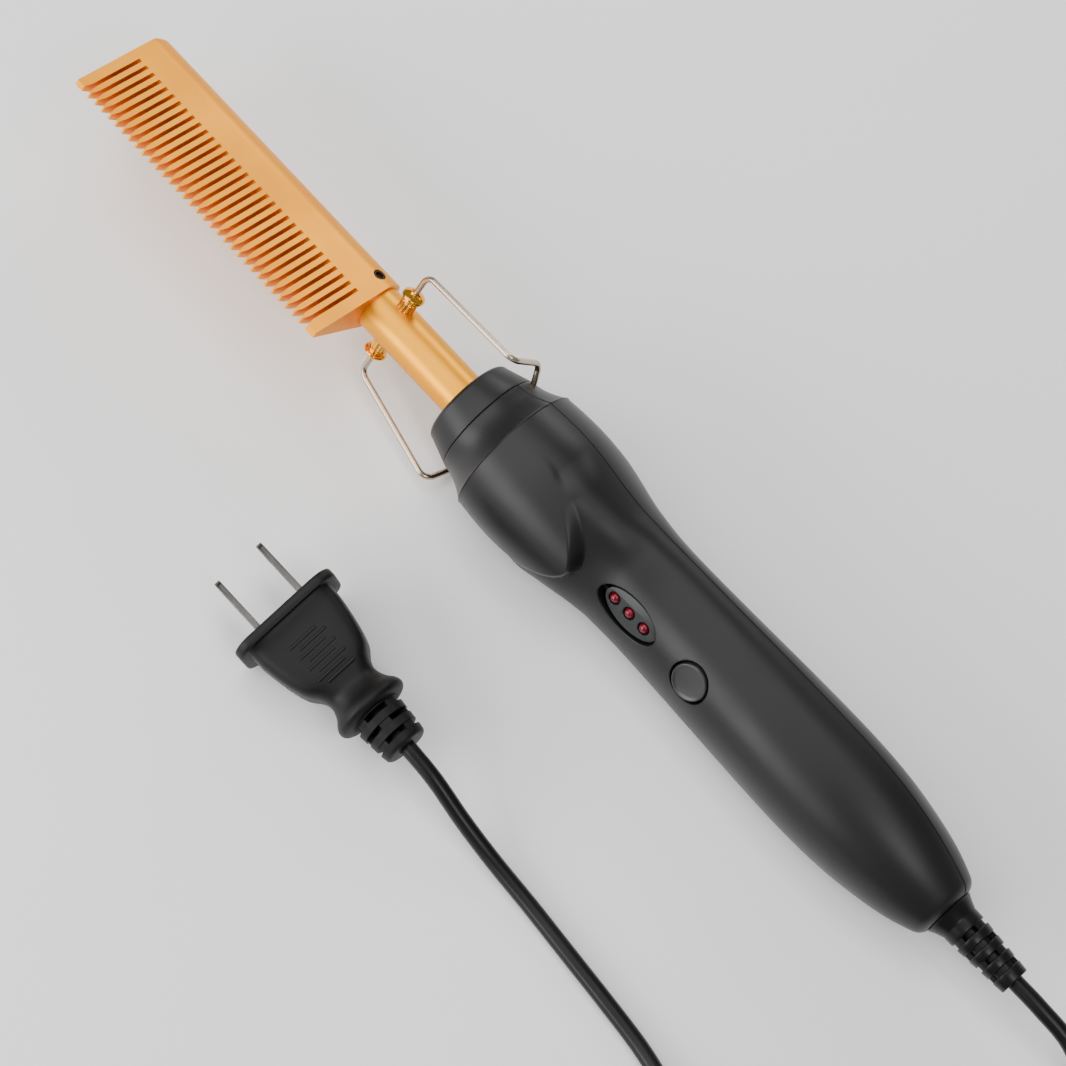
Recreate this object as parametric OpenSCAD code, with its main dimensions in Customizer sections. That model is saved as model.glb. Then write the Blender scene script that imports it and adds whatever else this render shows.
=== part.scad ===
// Electric hot comb, lying on a table as it is put down after use.
//
// Every piece is drawn round the barrel's axis: +X runs from the comb head to the cord, +Z is the
// side of the teeth and the button, and +Y and -Y are the sides of the two guard wires.
// laid_down() then rolls and tips the comb onto its lower guard wire, its belly and its rear swell.
// The cord, its coil and the plug are drawn straight on the table.

/* [Comb head] */
// Length of the comb head
head_len = 82.6; // [60:0.1:110]
// Diameter of the head's round spine
spine_d = 13.7; // [13.2:0.1:17]
// Height of the tooth tips over the barrel's axis
tooth_h = 24; // [18:0.1:32]
// Thickness of the comb at the tooth tips
edge_t = 1.6; // [1:0.1:3]
// Number of slots between the teeth
slot_count = 33; // [15:1:40]
// Width of each slot
slot_w = 1; // [0.6:0.05:1.2]
// Height of the slot roots over the barrel's axis
slot_root = 7.6; // [7.4:0.1:12]
// Width of the solid tooth at the far end
far_land = 2.7; // [1.5:0.1:5]
// Width of the solid tooth at the barrel end
near_land = 3.2; // [1.5:0.1:6]
// Length over which each tooth tapers to its tip
tooth_taper = 2.2; // [0.8:0.1:4]
// Width of each tooth at its very tip
tooth_tip_w = 0.5; // [0.3:0.05:0.8]
// Rounding of the spine's far corner
spine_round = 1.4; // [0.5:0.1:2.5]

/* [Barrel and heater] */
// Outer diameter of the barrel
barrel_d = 11.5; // [10:0.1:12]
// Wall of the barrel
barrel_wall = 0.9; // [0.6:0.1:1.5]
// Length of barrel seen between the comb head and the handle
barrel_show = 30.6; // [24:0.1:45]
// Length of barrel inside the handle
barrel_grip = 27; // [24:0.5:30]
// Length of barrel inside the comb head
barrel_in_head = 77; // [55:0.5:78]
// Length of the ceramic heating plate
heater_len = 58; // [35:1:60]
// Width of the ceramic heating plate
heater_w = 6.4; // [4:0.1:7]
// Thickness of the ceramic heating plate
heater_t = 2; // [1:0.1:2.5]
// Diameter of the temperature sensor's glass body
sensor_d = 1.8; // [1.2:0.1:2]

/* [Guard wires] */
// Distance from the comb head to the guard posts
post_gap = 5.9; // [4:0.1:12]
// Diameter of a post's fluted shank
post_d = 4.2; // [3.4:0.1:5]
// Diameter of a post's domed head
post_head_d = 5.8; // [5:0.1:8]
// Height of a post's shank over the barrel
post_shank_h = 2.3; // [1.5:0.1:4]
// Height of the post's domed head
post_head_h = 2.8; // [2:0.1:4]
// Diameter of the guard wire
wire_d = 1.5; // [1:0.1:1.8]
// Distance of the wire's first bend from the barrel's axis
wire_rise = 16.8; // [14.5:0.1:20]
// Distance of the wire's shoulder from the barrel's axis
wire_span = 21.3; // [18:0.1:24]
// Height of the wire's shoulder towards the tooth side
wire_lift = 4.9; // [2:0.1:6]
// Radius of the bends in the wire
wire_bend = 2; // [1.2:0.1:2.2]

/* [Handle] */
// Length of the handle from the nose ring's rim to its tail
handle_len = 159; // [150:0.5:175]
// Diameter of the nose ring at its rim
nose_d = 23.4; // [21:0.1:25]
// Length of the nose ring's cone
nose_len = 7.6; // [6:0.1:9]
// Diameter of the handle's neck behind the nose ring
neck_d = 27.8; // [27:0.1:30]
// Length of the neck
neck_len = 8.7; // [7:0.1:10]
// Diameter at the edge where the neck meets the belly
step_d = 34.2; // [33:0.1:36]
// Diameter of the belly
belly_d = 35.5; // [34.4:0.1:38]
// Width of the grip at its waist
waist_w = 30.6; // [28:0.1:33]
// Thickness of the grip at its waist
waist_t = 22.5; // [21.5:0.1:25]
// Width of the rear swell
swell_w = 32.4; // [30:0.1:36]
// Thickness of the rear swell
swell_t = 27.2; // [25:0.1:31]
// Diameter that the tail runs down to
tail_d = 15.8; // [15:0.1:18]
// Rounding of the tail's rim
tail_round = 2.2; // [1:0.1:3]
// Wall of the two shells
shell_wall = 2; // [1.5:0.1:2.2]

/* [Thumb crest] */
// Where the crest on the front of the belly ends, from the nose rim
crest_end = 48.3; // [44:0.1:50]
// Width of the crest over the belly
crest_w = 28; // [24:0.5:30]
// Width of the step round the crest
crest_slope = 2.4; // [2:0.1:4]

/* [Button and lights] */
// Diameter of the push button
button_d = 10.1; // [8:0.1:11]
// Gap between the button and the edge of its hole
button_gap = 0.1; // [0.05:0.01:0.2]
// Travel of the push button
button_travel = 0.5; // [0.3:0.05:0.6]
// How far the button's top lies below the grip's crown
button_sink = 0.15; // [0.1:0.05:0.6]
// Place of the push button from the nose rim
button_at = 83.7; // [80:0.1:90]
// Length of the oval window
window_l = 17.4; // [16:0.1:19]
// Width of the oval window
window_w = 9; // [8:0.1:10]
// Place of the window's middle from the nose rim
window_at = 63; // [60:0.1:66]
// Distance between the three lights
light_pitch = 4.75; // [4.2:0.05:5]
// Diameter of each light
light_d = 3; // [2.5:0.1:3]

/* [Cord swivel] */
// Diameter of the swivel's neck in the tail
swivel_neck_d = 10; // [9:0.1:11]
// Radial gap of the swivel's neck in the tail
swivel_gap = 0.08; // [0.05:0.01:0.1]
// Diameter of the swivel's inner flange
swivel_flange_d = 14; // [13:0.1:14.5]
// Diameter of the slip rings
slip_ring_d = 7.6; // [7:0.1:8.4]

/* [Strain relief] */
// Diameter of the strain relief where it meets the tail
relief_root_d = 12.6; // [11:0.1:14]
// Length of its smooth cone
relief_cone = 3.5; // [3:0.1:6]
// Diameter of its first rib
relief_rib_d = 9.5; // [8.5:0.1:10.5]
// Diameter of its last rib
relief_end_d = 7.4; // [7:0.1:8.5]
// Length of the whole strain relief behind the tail
relief_len = 21; // [18:0.5:28]
// Length of the plain collar behind the cone
relief_collar = 2.7; // [1.5:0.1:4]
// Width of the slots between the ribs
relief_gap = 1.3; // [0.8:0.1:1.5]
// Length of each slot round the strain relief
relief_slot_w = 5; // [3:0.1:5.2]

/* [Plug] */
// Width of the plug's face
plug_w = 28.5; // [27:0.1:32]
// Height of the plug's face
plug_h = 18; // [16:0.5:20]
// Thickness of the rim behind the face
plug_rim = 2.6; // [2:0.1:4]
// Length of the plug's body from its face to its strain relief
plug_body_l = 31; // [28:0.5:36]
// Length of the plug's ribbed strain relief
plug_relief_l = 10.5; // [8:0.5:16]
// Distance between the two blades
blade_pitch = 12.7; // [12.7:0.1:12.7]
// Length of the blades
blade_l = 15.9; // [15:0.1:18]
// Width of a blade
blade_w = 6.3; // [6:0.1:7]
// Thickness of a blade
blade_t = 1.5; // [1.4:0.1:1.6]

/* [Cord] */
// Diameter of the cord
cord_d = 4; // [3.4:0.1:4.2]

/* [Hidden] */

$fn = 48;
eps = 0.01;       // how far a cut runs past the face that it opens
seat_gap = 0.05;  // clearance of pieces that are assembled and stay put

// ---- places worked out from the sizes above ----

barrel_r = barrel_d / 2;
barrel_bore_r = barrel_r - barrel_wall;
spine_r = spine_d / 2;
head_rear = -barrel_show;
head_tip = head_rear - head_len;
post_x = head_rear + post_gap;
set_screw_d = 3;
set_screw_back = 3.9;
set_screw_x = head_rear - set_screw_back;
screw_tip_y = barrel_bore_r - 0.2;

neck_end = nose_len + neck_len;
belly_at = neck_end + 10.7;
side_waist_at = 50;
front_waist_at = 57;
back_waist_at = 60;
grip_waist_at = 66;
side_swell_at = handle_len - 47;
swell_at = handle_len - 37;
tail_wall = 4.8;
groove_w = 0.2;

// ---- the handle's outline ----

function smooth(s) = s <= 0 ? 0 : s >= 1 ? 1 : s * s * (3 - 2 * s);
function blend(x, x0, x1, a, b) = a + (b - a) * smooth((x - x0) / (x1 - x0));

// Radius of the neck and of the belly's shoulder, which are round
function neck_r(x) = neck_d / 2 + (step_d - neck_d) / 2 * pow(max(0, (x - nose_len) / neck_len), 1.8);
function shoulder_r(x) = step_d / 2
    + (belly_d - step_d) / 2 * sin(90 * min(1, (x - neck_end) / (belly_at - neck_end)));
function round_r(x) = x < neck_end ? neck_r(x) : shoulder_r(x);

// How much the tail's rounded rim takes off at x
function rim_cut(x) = let (s = (x - (handle_len - tail_round)) / tail_round)
    s <= 0 ? 0 : tail_round * (1 - sqrt(max(0, 1 - s * s)));
function tail_fall(x, top, x0) = let (s = max(0, (x - x0) / (handle_len - x0)))
    top - (top - tail_d / 2) * pow(s, 2.6) - rim_cut(x);

// Half width, half thickness of the back and of the front without its crest
function side(x) = x < belly_at ? round_r(x)
    : x < side_waist_at ? blend(x, belly_at, side_waist_at, belly_d / 2, waist_w / 2)
    : x < side_swell_at ? blend(x, side_waist_at, side_swell_at, waist_w / 2, swell_w / 2)
    : tail_fall(x, swell_w / 2, side_swell_at);
function grip(x) = x < swell_at ? blend(x, grip_waist_at, swell_at, waist_t / 2, swell_t / 2)
    : tail_fall(x, swell_t / 2, swell_at);
function back(x) = x < belly_at ? round_r(x)
    : x < back_waist_at ? blend(x, 34, back_waist_at, belly_d / 2, waist_t / 2) : grip(x);
function front(x) = x < 22 ? round_r(x)
    : x < front_waist_at ? blend(x, 22, front_waist_at, round_r(x), waist_t / 2) : grip(x);
// Height of the crest's own middle line
function crest(x) = x < belly_at ? round_r(x) : belly_d / 2 - 0.9 * pow((x - belly_at) / 18, 2);

// Fullness of the oval section: 2 is an ellipse, less is leaner and more is squarer
function lean(x) = 2 - 0.15 * smooth((x - 52) / 14) + 0.15 * smooth((x - handle_len + 19) / 14);
function fullness(x) = lean(x) + 0.5 * smooth((x - 30) / 8) * (1 - smooth((x - 44) / 12));

// How far a place on the front stands inside the crest's tongue: 0 outside, 1 on top.
// The power sets the tongue's outline: 2 is half an ellipse and 1 comes to a point
tongue_power = 1.55;
function on_crest(x, y) = let (
    ahead = max(0, x - belly_at),
    reach = pow(pow(ahead / (crest_end - belly_at), tongue_power) + pow(abs(y) / (crest_w / 2), tongue_power),
        1 / tongue_power),
    d = norm([ahead, y]) * (1 / max(0.001, reach) - 1))
    reach < 0.001 || d >= crest_slope ? 1 : d <= 0 ? 0 : sin(90 * d / crest_slope);

function oval(a, b, n, t) = [a * sign(cos(t)) * pow(abs(cos(t)), 2 / n), b * pow(abs(sin(t)), 2 / n)];
function front_point(x, t) = let (
    low = oval(side(x), front(x), fullness(x), t),
    high = oval(side(x), crest(x), 2, t),
    s = on_crest(x, high[0])) [x, low[0] + (high[0] - low[0]) * s, low[1] + (high[1] - low[1]) * s];
function back_point(x, t) = let (p = oval(side(x), back(x), lean(x), t)) [x, p[0], -p[1]];

// ---- skins and swept tubes ----

function flatten(rows) = [for (row = rows) each row];

// A closed solid through rings of equally many points, with flat ends
module skin(rings) {
    n = len(rings);
    m = len(rings[0]);
    sides = [for (i = [0 : n - 2], j = [0 : m - 1]) let (k = (j + 1) % m)
        each [[i * m + j, (i + 1) * m + k, i * m + k], [i * m + j, (i + 1) * m + j, (i + 1) * m + k]]];
    ends = [[for (j = [0 : m - 1]) j], [for (j = [m - 1 : -1 : 0]) (n - 1) * m + j]];
    polyhedron(flatten(rings), concat(sides, ends), convexity = 8);
}

function unit(v) = v / norm(v);

// An arc of radius r in the corner p between the points a and b
function corner(p, a, b, r, steps) = let (
    u = unit(a - p), v = unit(b - p), half = acos(u * v) / 2, centre = p + unit(u + v) * r / sin(half),
    e0 = unit(p + u * r / tan(half) - centre), e1 = unit(p + v * r / tan(half) - centre),
    w = acos(e0 * e1))
    [for (k = [0 : steps]) centre + r * (e0 * sin((1 - k / steps) * w) + e1 * sin(k / steps * w)) / sin(w)];
function bent(pts, r, steps) = concat([pts[0]],
    [for (i = [1 : len(pts) - 2]) each corner(pts[i], pts[i - 1], pts[i + 1], r, steps)],
    [pts[len(pts) - 1]]);

// A smooth curve through hand-placed points, with steps stretches between two of them
function spline_at(a, b, c, d, s) = 0.5 * (2 * b + (c - a) * s + (2 * a - 5 * b + 4 * c - d) * s * s
    + (3 * b - a - 3 * c + d) * s * s * s);
function spline(pts, steps) = let (last = len(pts) - 1)
    [for (i = [0 : last - 1], k = [0 : steps - 1 + (i == last - 1 ? 1 : 0)])
        spline_at(pts[max(0, i - 1)], pts[i], pts[i + 1], pts[min(last, i + 2)], k / steps)];

function heading(path, i) = unit(path[min(len(path) - 1, i + 1)] - path[max(0, i - 1)]);
function carried(path, side_dir, i = 0) = i >= len(path) ? []
    : let (t = heading(path, i), s = unit(side_dir - (side_dir * t) * t)) concat([s], carried(path, s, i + 1));

// A round tube of diameter d swept along a path; start_side is square to its first stretch
module swept(path, d, sides = 8, start_side = [0, 0, 1]) {
    normals = carried(path, start_side);
    skin([for (i = [0 : len(path) - 1]) let (n = normals[i], b = cross(heading(path, i), n))
        [for (j = [0 : sides - 1]) path[i] + d / 2 * (cos(j * 360 / sides) * n + sin(j * 360 / sides) * b)]]);
}

// A true cylinder from one point to another
module rod(from, to, d) {
    v = to - from;
    translate(from) rotate([0, acos(v[2] / norm(v)), atan2(v[1], v[0])]) cylinder(h = norm(v), d = d);
}

// Turns a shape drawn along Z so that it runs along X
module along_x() { rotate([0, 90, 0]) children(); }
module tube_x(x0, x1, r) { translate([x0, 0, 0]) along_x() cylinder(h = x1 - x0, r = r); }
// Revolves a list of [x, radius] points about the X axis
module turned(profile) { along_x() rotate_extrude() polygon([for (p = profile) [p[1], p[0]]]); }
module ellipse(l, w) { polygon([for (a = [0 : 10 : 350]) [l / 2 * cos(a), w / 2 * sin(a)]]); }

// ---- lying on the table ----

rest_roll = 36;
rest_pitch = 1.81;
rest_height = 18.68;
rest_side = 0.8;
overall_mid = (head_tip + handle_len + relief_len) / 2;

module laid_down() {
    translate([-overall_mid, rest_side, rest_height])
        rotate([0, rest_pitch, 0]) rotate([90 - rest_roll, 0, 0]) children();
}

// ---- comb head ----

slot_pitch = (head_len - far_land - near_land - slot_w) / (slot_count - 1);
flank_r = spine_r - 0.05;   // the flanks run just inside the spine's skin where they meet it
flank_angle = atan2(edge_t / 2, tooth_h) + acos(flank_r / norm([edge_t / 2, tooth_h]));

module blade_section() {
    polygon([[-edge_t / 2, tooth_h], [edge_t / 2, tooth_h],
        flank_r * [sin(flank_angle), cos(flank_angle)], [0, 0], flank_r * [-sin(flank_angle), cos(flank_angle)]]);
}

// One slot seen from the side, with the taper of the two tooth tips beside it
module slot_outline() {
    mouth = (slot_pitch - tooth_tip_w) / 2;
    polygon([[-slot_w / 2, slot_root], [slot_w / 2, slot_root], [slot_w / 2, tooth_h - tooth_taper],
        [mouth, tooth_h + eps], [-mouth, tooth_h + eps], [-slot_w / 2, tooth_h - tooth_taper]]);
}

module comb_head() {
    color("#e9b978") laid_down() difference() {
        union() {
            tube_x(head_tip, head_rear, spine_r);
            translate([head_tip, 0, 0]) rotate([90, 0, 90]) linear_extrude(head_len) blade_section();
        }
        for (i = [0 : slot_count - 1])
            translate([head_tip + far_land + slot_w / 2 + i * slot_pitch, spine_r, 0])
                rotate([90, 0, 0]) linear_extrude(2 * spine_r) slot_outline();
        tube_x(head_rear - barrel_in_head - 0.3, head_rear + eps, barrel_r + seat_gap);
        translate([set_screw_x, 0, 0]) rotate([-90, 0, 0]) cylinder(h = spine_r + 1, d = set_screw_d + 0.1);
        // rounding of the far corner round the back of the spine
        translate([head_tip, 0, 0]) along_x() rotate([0, 0, -90 + 15]) rotate_extrude(angle = 150)
            difference() {
                translate([spine_r - spine_round, -eps]) square([spine_round + 1, spine_round + eps]);
                translate([spine_r - spine_round, spine_round]) circle(r = spine_round);
            }
    }
}

module head_set_screw() {
    color("#1b1b1b") laid_down() translate([set_screw_x, screw_tip_y, 0]) rotate([-90, 0, 0]) difference() {
        cylinder(h = spine_r - screw_tip_y - 0.15, d = set_screw_d);
        translate([0, 0, spine_r - screw_tip_y - 1.35]) cylinder(h = 2, d = 1.75, $fn = 6);
    }
}

// ---- barrel and heater ----

module barrel_tube() {
    color("#dca65a") laid_down() difference() {
        tube_x(head_rear - barrel_in_head, barrel_grip, barrel_r);
        tube_x(head_rear - barrel_in_head - 1, barrel_grip + 1, barrel_bore_r);
        translate([set_screw_x, 0, 0]) rotate([-90, 0, 0]) cylinder(h = barrel_d, d = set_screw_d + 0.1);
        for (s = [-1, 1]) translate([post_x, 0, 0]) rotate([-90 * s, 0, 0]) cylinder(h = barrel_d, d = rivet_d + 0.1);
    }
}

spreader_rear = set_screw_x - set_screw_d / 2 - 2;
spreader_len = heater_len + 6;
spreader_r = barrel_bore_r - seat_gap;
heater_rear = spreader_rear - 1;

module heat_spreader() {
    color("#c9ccd0") laid_down() difference() {
        tube_x(spreader_rear - spreader_len, spreader_rear, spreader_r);
        translate([heater_rear - heater_len - 0.2, -heater_w / 2 - seat_gap, -heater_t / 2 - seat_gap])
            cube([heater_len + 3, heater_w + 2 * seat_gap, heater_t + 2 * seat_gap]);
        translate([0, 0, -spreader_r / 2 - 0.5])
            tube_x(spreader_rear - 9, spreader_rear + 1, sensor_d / 2 + seat_gap);
    }
}

module ceramic_heater() {
    color("#eee9df") laid_down() translate([heater_rear - heater_len, -heater_w / 2, -heater_t / 2])
        cube([heater_len, heater_w, heater_t]);
}

module temperature_sensor() {
    color("#b5502f") laid_down() translate([0, 0, -spreader_r / 2 - 0.5])
        tube_x(spreader_rear - 8.8, spreader_rear, sensor_d / 2);
}

// ---- guard posts and wires ----

rivet_d = 2.4;
flute_count = 10;
post_top = barrel_r + post_shank_h + post_head_h;
wire_seat = barrel_r + post_shank_h + 0.4;

// A post standing on the barrel along +Z of its own
module post() {
    translate([0, 0, barrel_bore_r - 0.4]) cylinder(h = barrel_wall + 2, d = rivet_d);
    difference() {
        translate([0, 0, barrel_r - 0.6]) cylinder(h = post_shank_h + 1, d = post_d);
        tube_x(-post_d, post_d, barrel_r + seat_gap);
        for (i = [0 : flute_count - 1]) rotate([0, 0, (i + 0.5) * 360 / flute_count])
            translate([post_d / 2 + 0.12, 0, barrel_r - 1]) cylinder(h = post_shank_h + 0.7, d = 0.8);
    }
    // domed head with a short straight rim, the wire's hole and a slot
    difference() {
        translate([0, 0, barrel_r + post_shank_h]) rotate_extrude() intersection() {
            translate([0, post_head_h - post_head_d * 0.62]) circle(d = post_head_d * 1.24);
            square([post_head_d / 2, post_head_h]);
        }
        translate([0, 0, wire_seat]) cylinder(h = post_head_h + 1, d = wire_d + 0.1);
        translate([-post_head_d, -0.35, post_top - 0.8]) cube([2 * post_head_d, 0.7, 2]);
    }
}

module guard_post(s) {
    color("#f0c465") laid_down() translate([post_x, 0, 0]) rotate([-90 * s, 0, 0]) post();
}
module guard_post_upper() { guard_post(1); }
module guard_post_lower() { guard_post(-1); }

// Corners of the upper wire; the lower one is its mirror image
wire_foot = [nose_len + 1.3, 13.3, -5.4];
wire_toe = [nose_len - 0.6, wire_span - 3.3, -5.9];
wire_in = wire_foot + 1.8 * unit(wire_foot - wire_toe);
wire_corners = [[post_x, wire_seat + 0.1, 0], [post_x, wire_rise, 0],
    [nose_len - 2.9, wire_span, wire_lift], wire_toe, wire_in];

module guard_wire() {
    color("#b9b4ac") swept(bent(wire_corners, wire_bend, 5), wire_d, 8, [1, 0, 0]);
}
module guard_wire_upper() { laid_down() guard_wire(); }
module guard_wire_lower() { laid_down() mirror([0, 1, 0]) guard_wire(); }
module wire_holes() {
    for (s = [0, 1]) mirror([0, s, 0]) rod(wire_foot + 3 * unit(wire_toe - wire_foot),
        wire_in + 0.1 * unit(wire_in - wire_foot), wire_d + 0.1);
}

// ---- nose ring and barrel holder ----

sleeve_r = neck_d / 2 - shell_wall - seat_gap;
sleeve_wall = 1.7;
sleeve_end = nose_len + 4;
nose_face = 2.4;
holder_flange_r = sleeve_r;
holder_end = sleeve_end + 11;

module nose_ring() {
    rim = 1.3;
    color("#262627") laid_down() difference() {
        turned(concat([[0, 0]],
            [for (a = [0 : 15 : 90]) [rim * (1 - cos(a)), nose_d / 2 - rim * (1 - sin(a))]],
            [[nose_len, neck_d / 2 - 0.3], [nose_len, sleeve_r], [sleeve_end, sleeve_r], [sleeve_end, 0]]));
        tube_x(nose_face, sleeve_end + 1, sleeve_r - sleeve_wall);
        tube_x(-1, nose_face + 1, barrel_r + 0.25);
    }
}

module barrel_holder() {
    color("#6b4a33") laid_down() difference() {
        union() {
            tube_x(nose_face + seat_gap, sleeve_end + seat_gap, sleeve_r - sleeve_wall - seat_gap);
            tube_x(sleeve_end + seat_gap, sleeve_end + 3, holder_flange_r);
            tube_x(sleeve_end + 3, holder_end, barrel_r + 2.2);
        }
        tube_x(-1, holder_end + 1, barrel_r + seat_gap);
    }
}

// ---- shells ----

neck_front = nose_len + groove_w;
shell_stations = concat(
    [for (x = [neck_front : (neck_end - neck_front) / 5 : neck_end - eps]) x],
    [for (x = [neck_end : 3.5 : belly_at + 2]) x],
    [for (x = [30 : 1.8 : 53]) x],
    [for (x = [56 : 8 : swell_at + 7]) x],
    [for (k = [0 : 4]) swell_at + 13 + 5 * k],
    [for (a = [0 : 22.5 : 90]) handle_len - tail_round * (1 - sin(a))]);
back_stations = concat(
    [for (x = [neck_front : (neck_end - neck_front) / 4 : neck_end - eps]) x],
    [for (x = [neck_end : 3.5 : belly_at + 2]) x],
    [for (x = [30 : 4 : 62]) x],
    [for (x = [68 : 10 : swell_at + 7]) x],
    [for (k = [0 : 4]) swell_at + 13 + 5 * k],
    [for (a = [0 : 30 : 90]) handle_len - tail_round * (1 - sin(a))]);
hollow_end = handle_len - tail_wall;
hollow_stations = concat([neck_front - 1, neck_end - 3, neck_end + 1],
    [for (x = [22 : 6 : 64]) x], [for (x = [74 : 12 : swell_at + 9]) x],
    [hollow_end - 20, hollow_end - 12, hollow_end - 6, hollow_end]);

section_step = 12;

module front_skin() {
    skin([for (x = shell_stations) [for (t = [0 : section_step : 180]) front_point(x, t)]]);
}
module back_skin() {
    skin([for (x = back_stations) [for (t = [180 : -section_step : 0]) back_point(x, t)]]);
}
// The room inside one shell; face is 1 for the front one and -1 for the back one
module hollow(face) {
    room = [for (x = hollow_stations) let (
        xs = max(x, neck_front), w = side(xs) - shell_wall,
        h = (face > 0 ? front(xs) : back(xs)) - shell_wall,
        arc = [for (t = [0 : 20 : 180]) let (p = oval(w, h, 2, t)) [x, p[0], p[1]]],
        ring = concat([[x, w, -1]], arc, [[x, -w, -1]]))
        ring];
    if (face > 0) skin(room);
    else mirror([0, 0, 1]) skin(room);
}

screw_at = [46, handle_len - 29];
boss_d = 6.4;
shell_screw_d = 2.6;
shell_screw_head_d = 5;
screw_head_z = -4.5;

window_seat = grip(window_at) - 2.4;   // where the window rests in the front shell
window_t = 1.4;
button_hole_r = button_d / 2 + button_gap;
button_top = grip(button_at) - button_sink;
tail_bore_r = swivel_neck_d / 2 + swivel_gap;

module front_shell() {
    color("#242425") laid_down() difference() {
        union() {
            difference() {
                front_skin();
                hollow(1);
            }
            // screw bosses and the frame round the window
            intersection() {
                union() {
                    for (x = screw_at) translate([x, 0, 0]) cylinder(h = belly_d / 2, d = boss_d);
                    translate([window_at, 0, window_seat - 1.4]) linear_extrude(4)
                        ellipse(window_l + 3, window_w + 3);
                }
                front_skin();
            }
        }
        for (x = screw_at) translate([x, 0, -1]) cylinder(h = 8, d = shell_screw_d - 0.4);
        translate([window_at, 0, window_seat]) linear_extrude(belly_d) ellipse(window_l + 0.2, window_w + 0.2);
        translate([window_at, 0, 0]) linear_extrude(belly_d) ellipse(window_l - 1.2, window_w - 1.2);
        translate([button_at, 0, 1]) cylinder(h = belly_d, r = button_hole_r);
        tube_x(hollow_end - 1, handle_len + 1, tail_bore_r);
    }
}

module back_shell() {
    color("#232324") laid_down() difference() {
        union() {
            difference() {
                back_skin();
                hollow(-1);
            }
            intersection() {
                union() {
                    for (x = screw_at) translate([x, 0, -belly_d]) cylinder(h = belly_d, d = boss_d + 1.4);
                    for (x = board_screw_at) translate([x, 0, -belly_d])
                        cylinder(h = belly_d + board_z, d = 4.4);
                }
                union() {
                    back_skin();
                    translate([0, -5, -eps]) cube([handle_len - 10, 10, board_z + eps]);
                }
            }
        }
        for (x = screw_at) {
            translate([x, 0, -belly_d]) cylinder(h = belly_d + 1, d = shell_screw_d + 0.3);
            translate([x, 0, -belly_d]) cylinder(h = belly_d + screw_head_z, d = shell_screw_head_d + 0.4);
        }
        for (x = board_screw_at) translate([x, 0, board_z - 6]) cylinder(h = 7, d = board_screw_d - 0.3);
        tube_x(hollow_end - 1, handle_len + 1, tail_bore_r);
        wire_holes();
    }
}

module shell_screws() {
    color("#9a9ca0") laid_down() for (x = screw_at) translate([x, 0, screw_head_z]) difference() {
        union() {
            translate([0, 0, -2]) cylinder(h = 2, d = shell_screw_head_d);
            translate([0, 0, -eps]) cylinder(h = 9, d = shell_screw_d - 0.4);
        }
        for (a = [0, 90]) rotate([0, 0, a]) translate([-1.5, -0.3, -2.1]) cube([3, 0.6, 1.2]);
    }
}

// ---- window, lights and button ----

light_x = [window_at - light_pitch, window_at, window_at + light_pitch];

module light_window() {
    color("#101112") laid_down() difference() {
        translate([window_at, 0, window_seat]) linear_extrude(window_t) ellipse(window_l, window_w);
        for (x = light_x) translate([x, 0, 0]) cylinder(h = belly_d, d = light_d + 0.2);
    }
}

light_top = window_seat + window_t + 0.5;

module light(x) {
    color("#7c0d14") laid_down() translate([x, 0, 0]) {
        translate([0, 0, light_top - light_d / 2]) sphere(d = light_d);
        translate([0, 0, light_top - 5]) cylinder(h = 5 - light_d / 2, d = light_d);
        translate([0, 0, light_top - 5.6]) cylinder(h = 0.8, d = light_d + 0.8);
        for (s = [-1, 1]) translate([0, s * 0.7, board_z + board_t])
            cylinder(h = light_top - 5 - board_z - board_t, d = 0.5, $fn = 16);
    }
}
module light_low() { light(light_x[0]); }
module light_mid() { light(light_x[1]); }
module light_high() { light(light_x[2]); }

button_flange_top = 8.3;
button_flange_t = 0.9;
plunger_top = button_flange_top - button_flange_t;
plunger_d = 3.4;
cap_r = button_d / 2 - 0.35;

module power_button() {
    color("#2b2b2c") laid_down() translate([button_at, 0, 0]) difference() {
        union() {
            translate([0, 0, plunger_top]) cylinder(h = button_flange_t, d = button_d + 1.8);
            rotate_extrude() polygon([[0, plunger_top + 0.2], [button_d / 2, plunger_top + 0.2],
                [button_d / 2, button_top - 1.4], [cap_r, button_top - 1.1], [cap_r, button_top - 0.4],
                [cap_r - 0.4, button_top], [cap_r - 0.75, button_top],
                [cap_r - 1, button_top - 0.2], [0, button_top - 0.25]]);
        }
        // hollow underside round the stem that meets the switch
        translate([0, 0, plunger_top - eps]) difference() {
            cylinder(h = 2.4, d = button_d - 2.4);
            cylinder(h = 3, d = plunger_d + 0.6);
        }
    }
}

switch_l = 6;
switch_h = 3.3;

module switch_plunger() {
    color("#3a3a3c") laid_down() translate([button_at, 0, plunger_top - 1.8]) cylinder(h = 1.8, d = plunger_d);
}

module switch_body() {
    top = board_z + board_t + switch_h;
    color("#4a4c50") laid_down() translate([button_at, 0, 0]) difference() {
        translate([-switch_l / 2, -switch_l / 2, board_z + board_t]) cube([switch_l, switch_l, switch_h]);
        translate([0, 0, plunger_top - 1.8 - button_travel - 0.2]) cylinder(h = 6, d = plunger_d + 0.1);
    }
}

// ---- control board ----

board_z = 2;
board_t = 1.2;
board_x0 = 53;
board_x1 = 108;
board_w = 19;
board_screw_d = 2;
board_screw_at = [board_x0 + 3, board_x1 - 3];
board_top = board_z + board_t;

module control_board() {
    color("#2f6b3c") laid_down() difference() {
        translate([board_x0, -board_w / 2, board_z]) cube([board_x1 - board_x0, board_w, board_t]);
        for (x = board_screw_at) translate([x, 0, 0]) cylinder(h = 8, d = board_screw_d + 0.2);
    }
}

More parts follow.
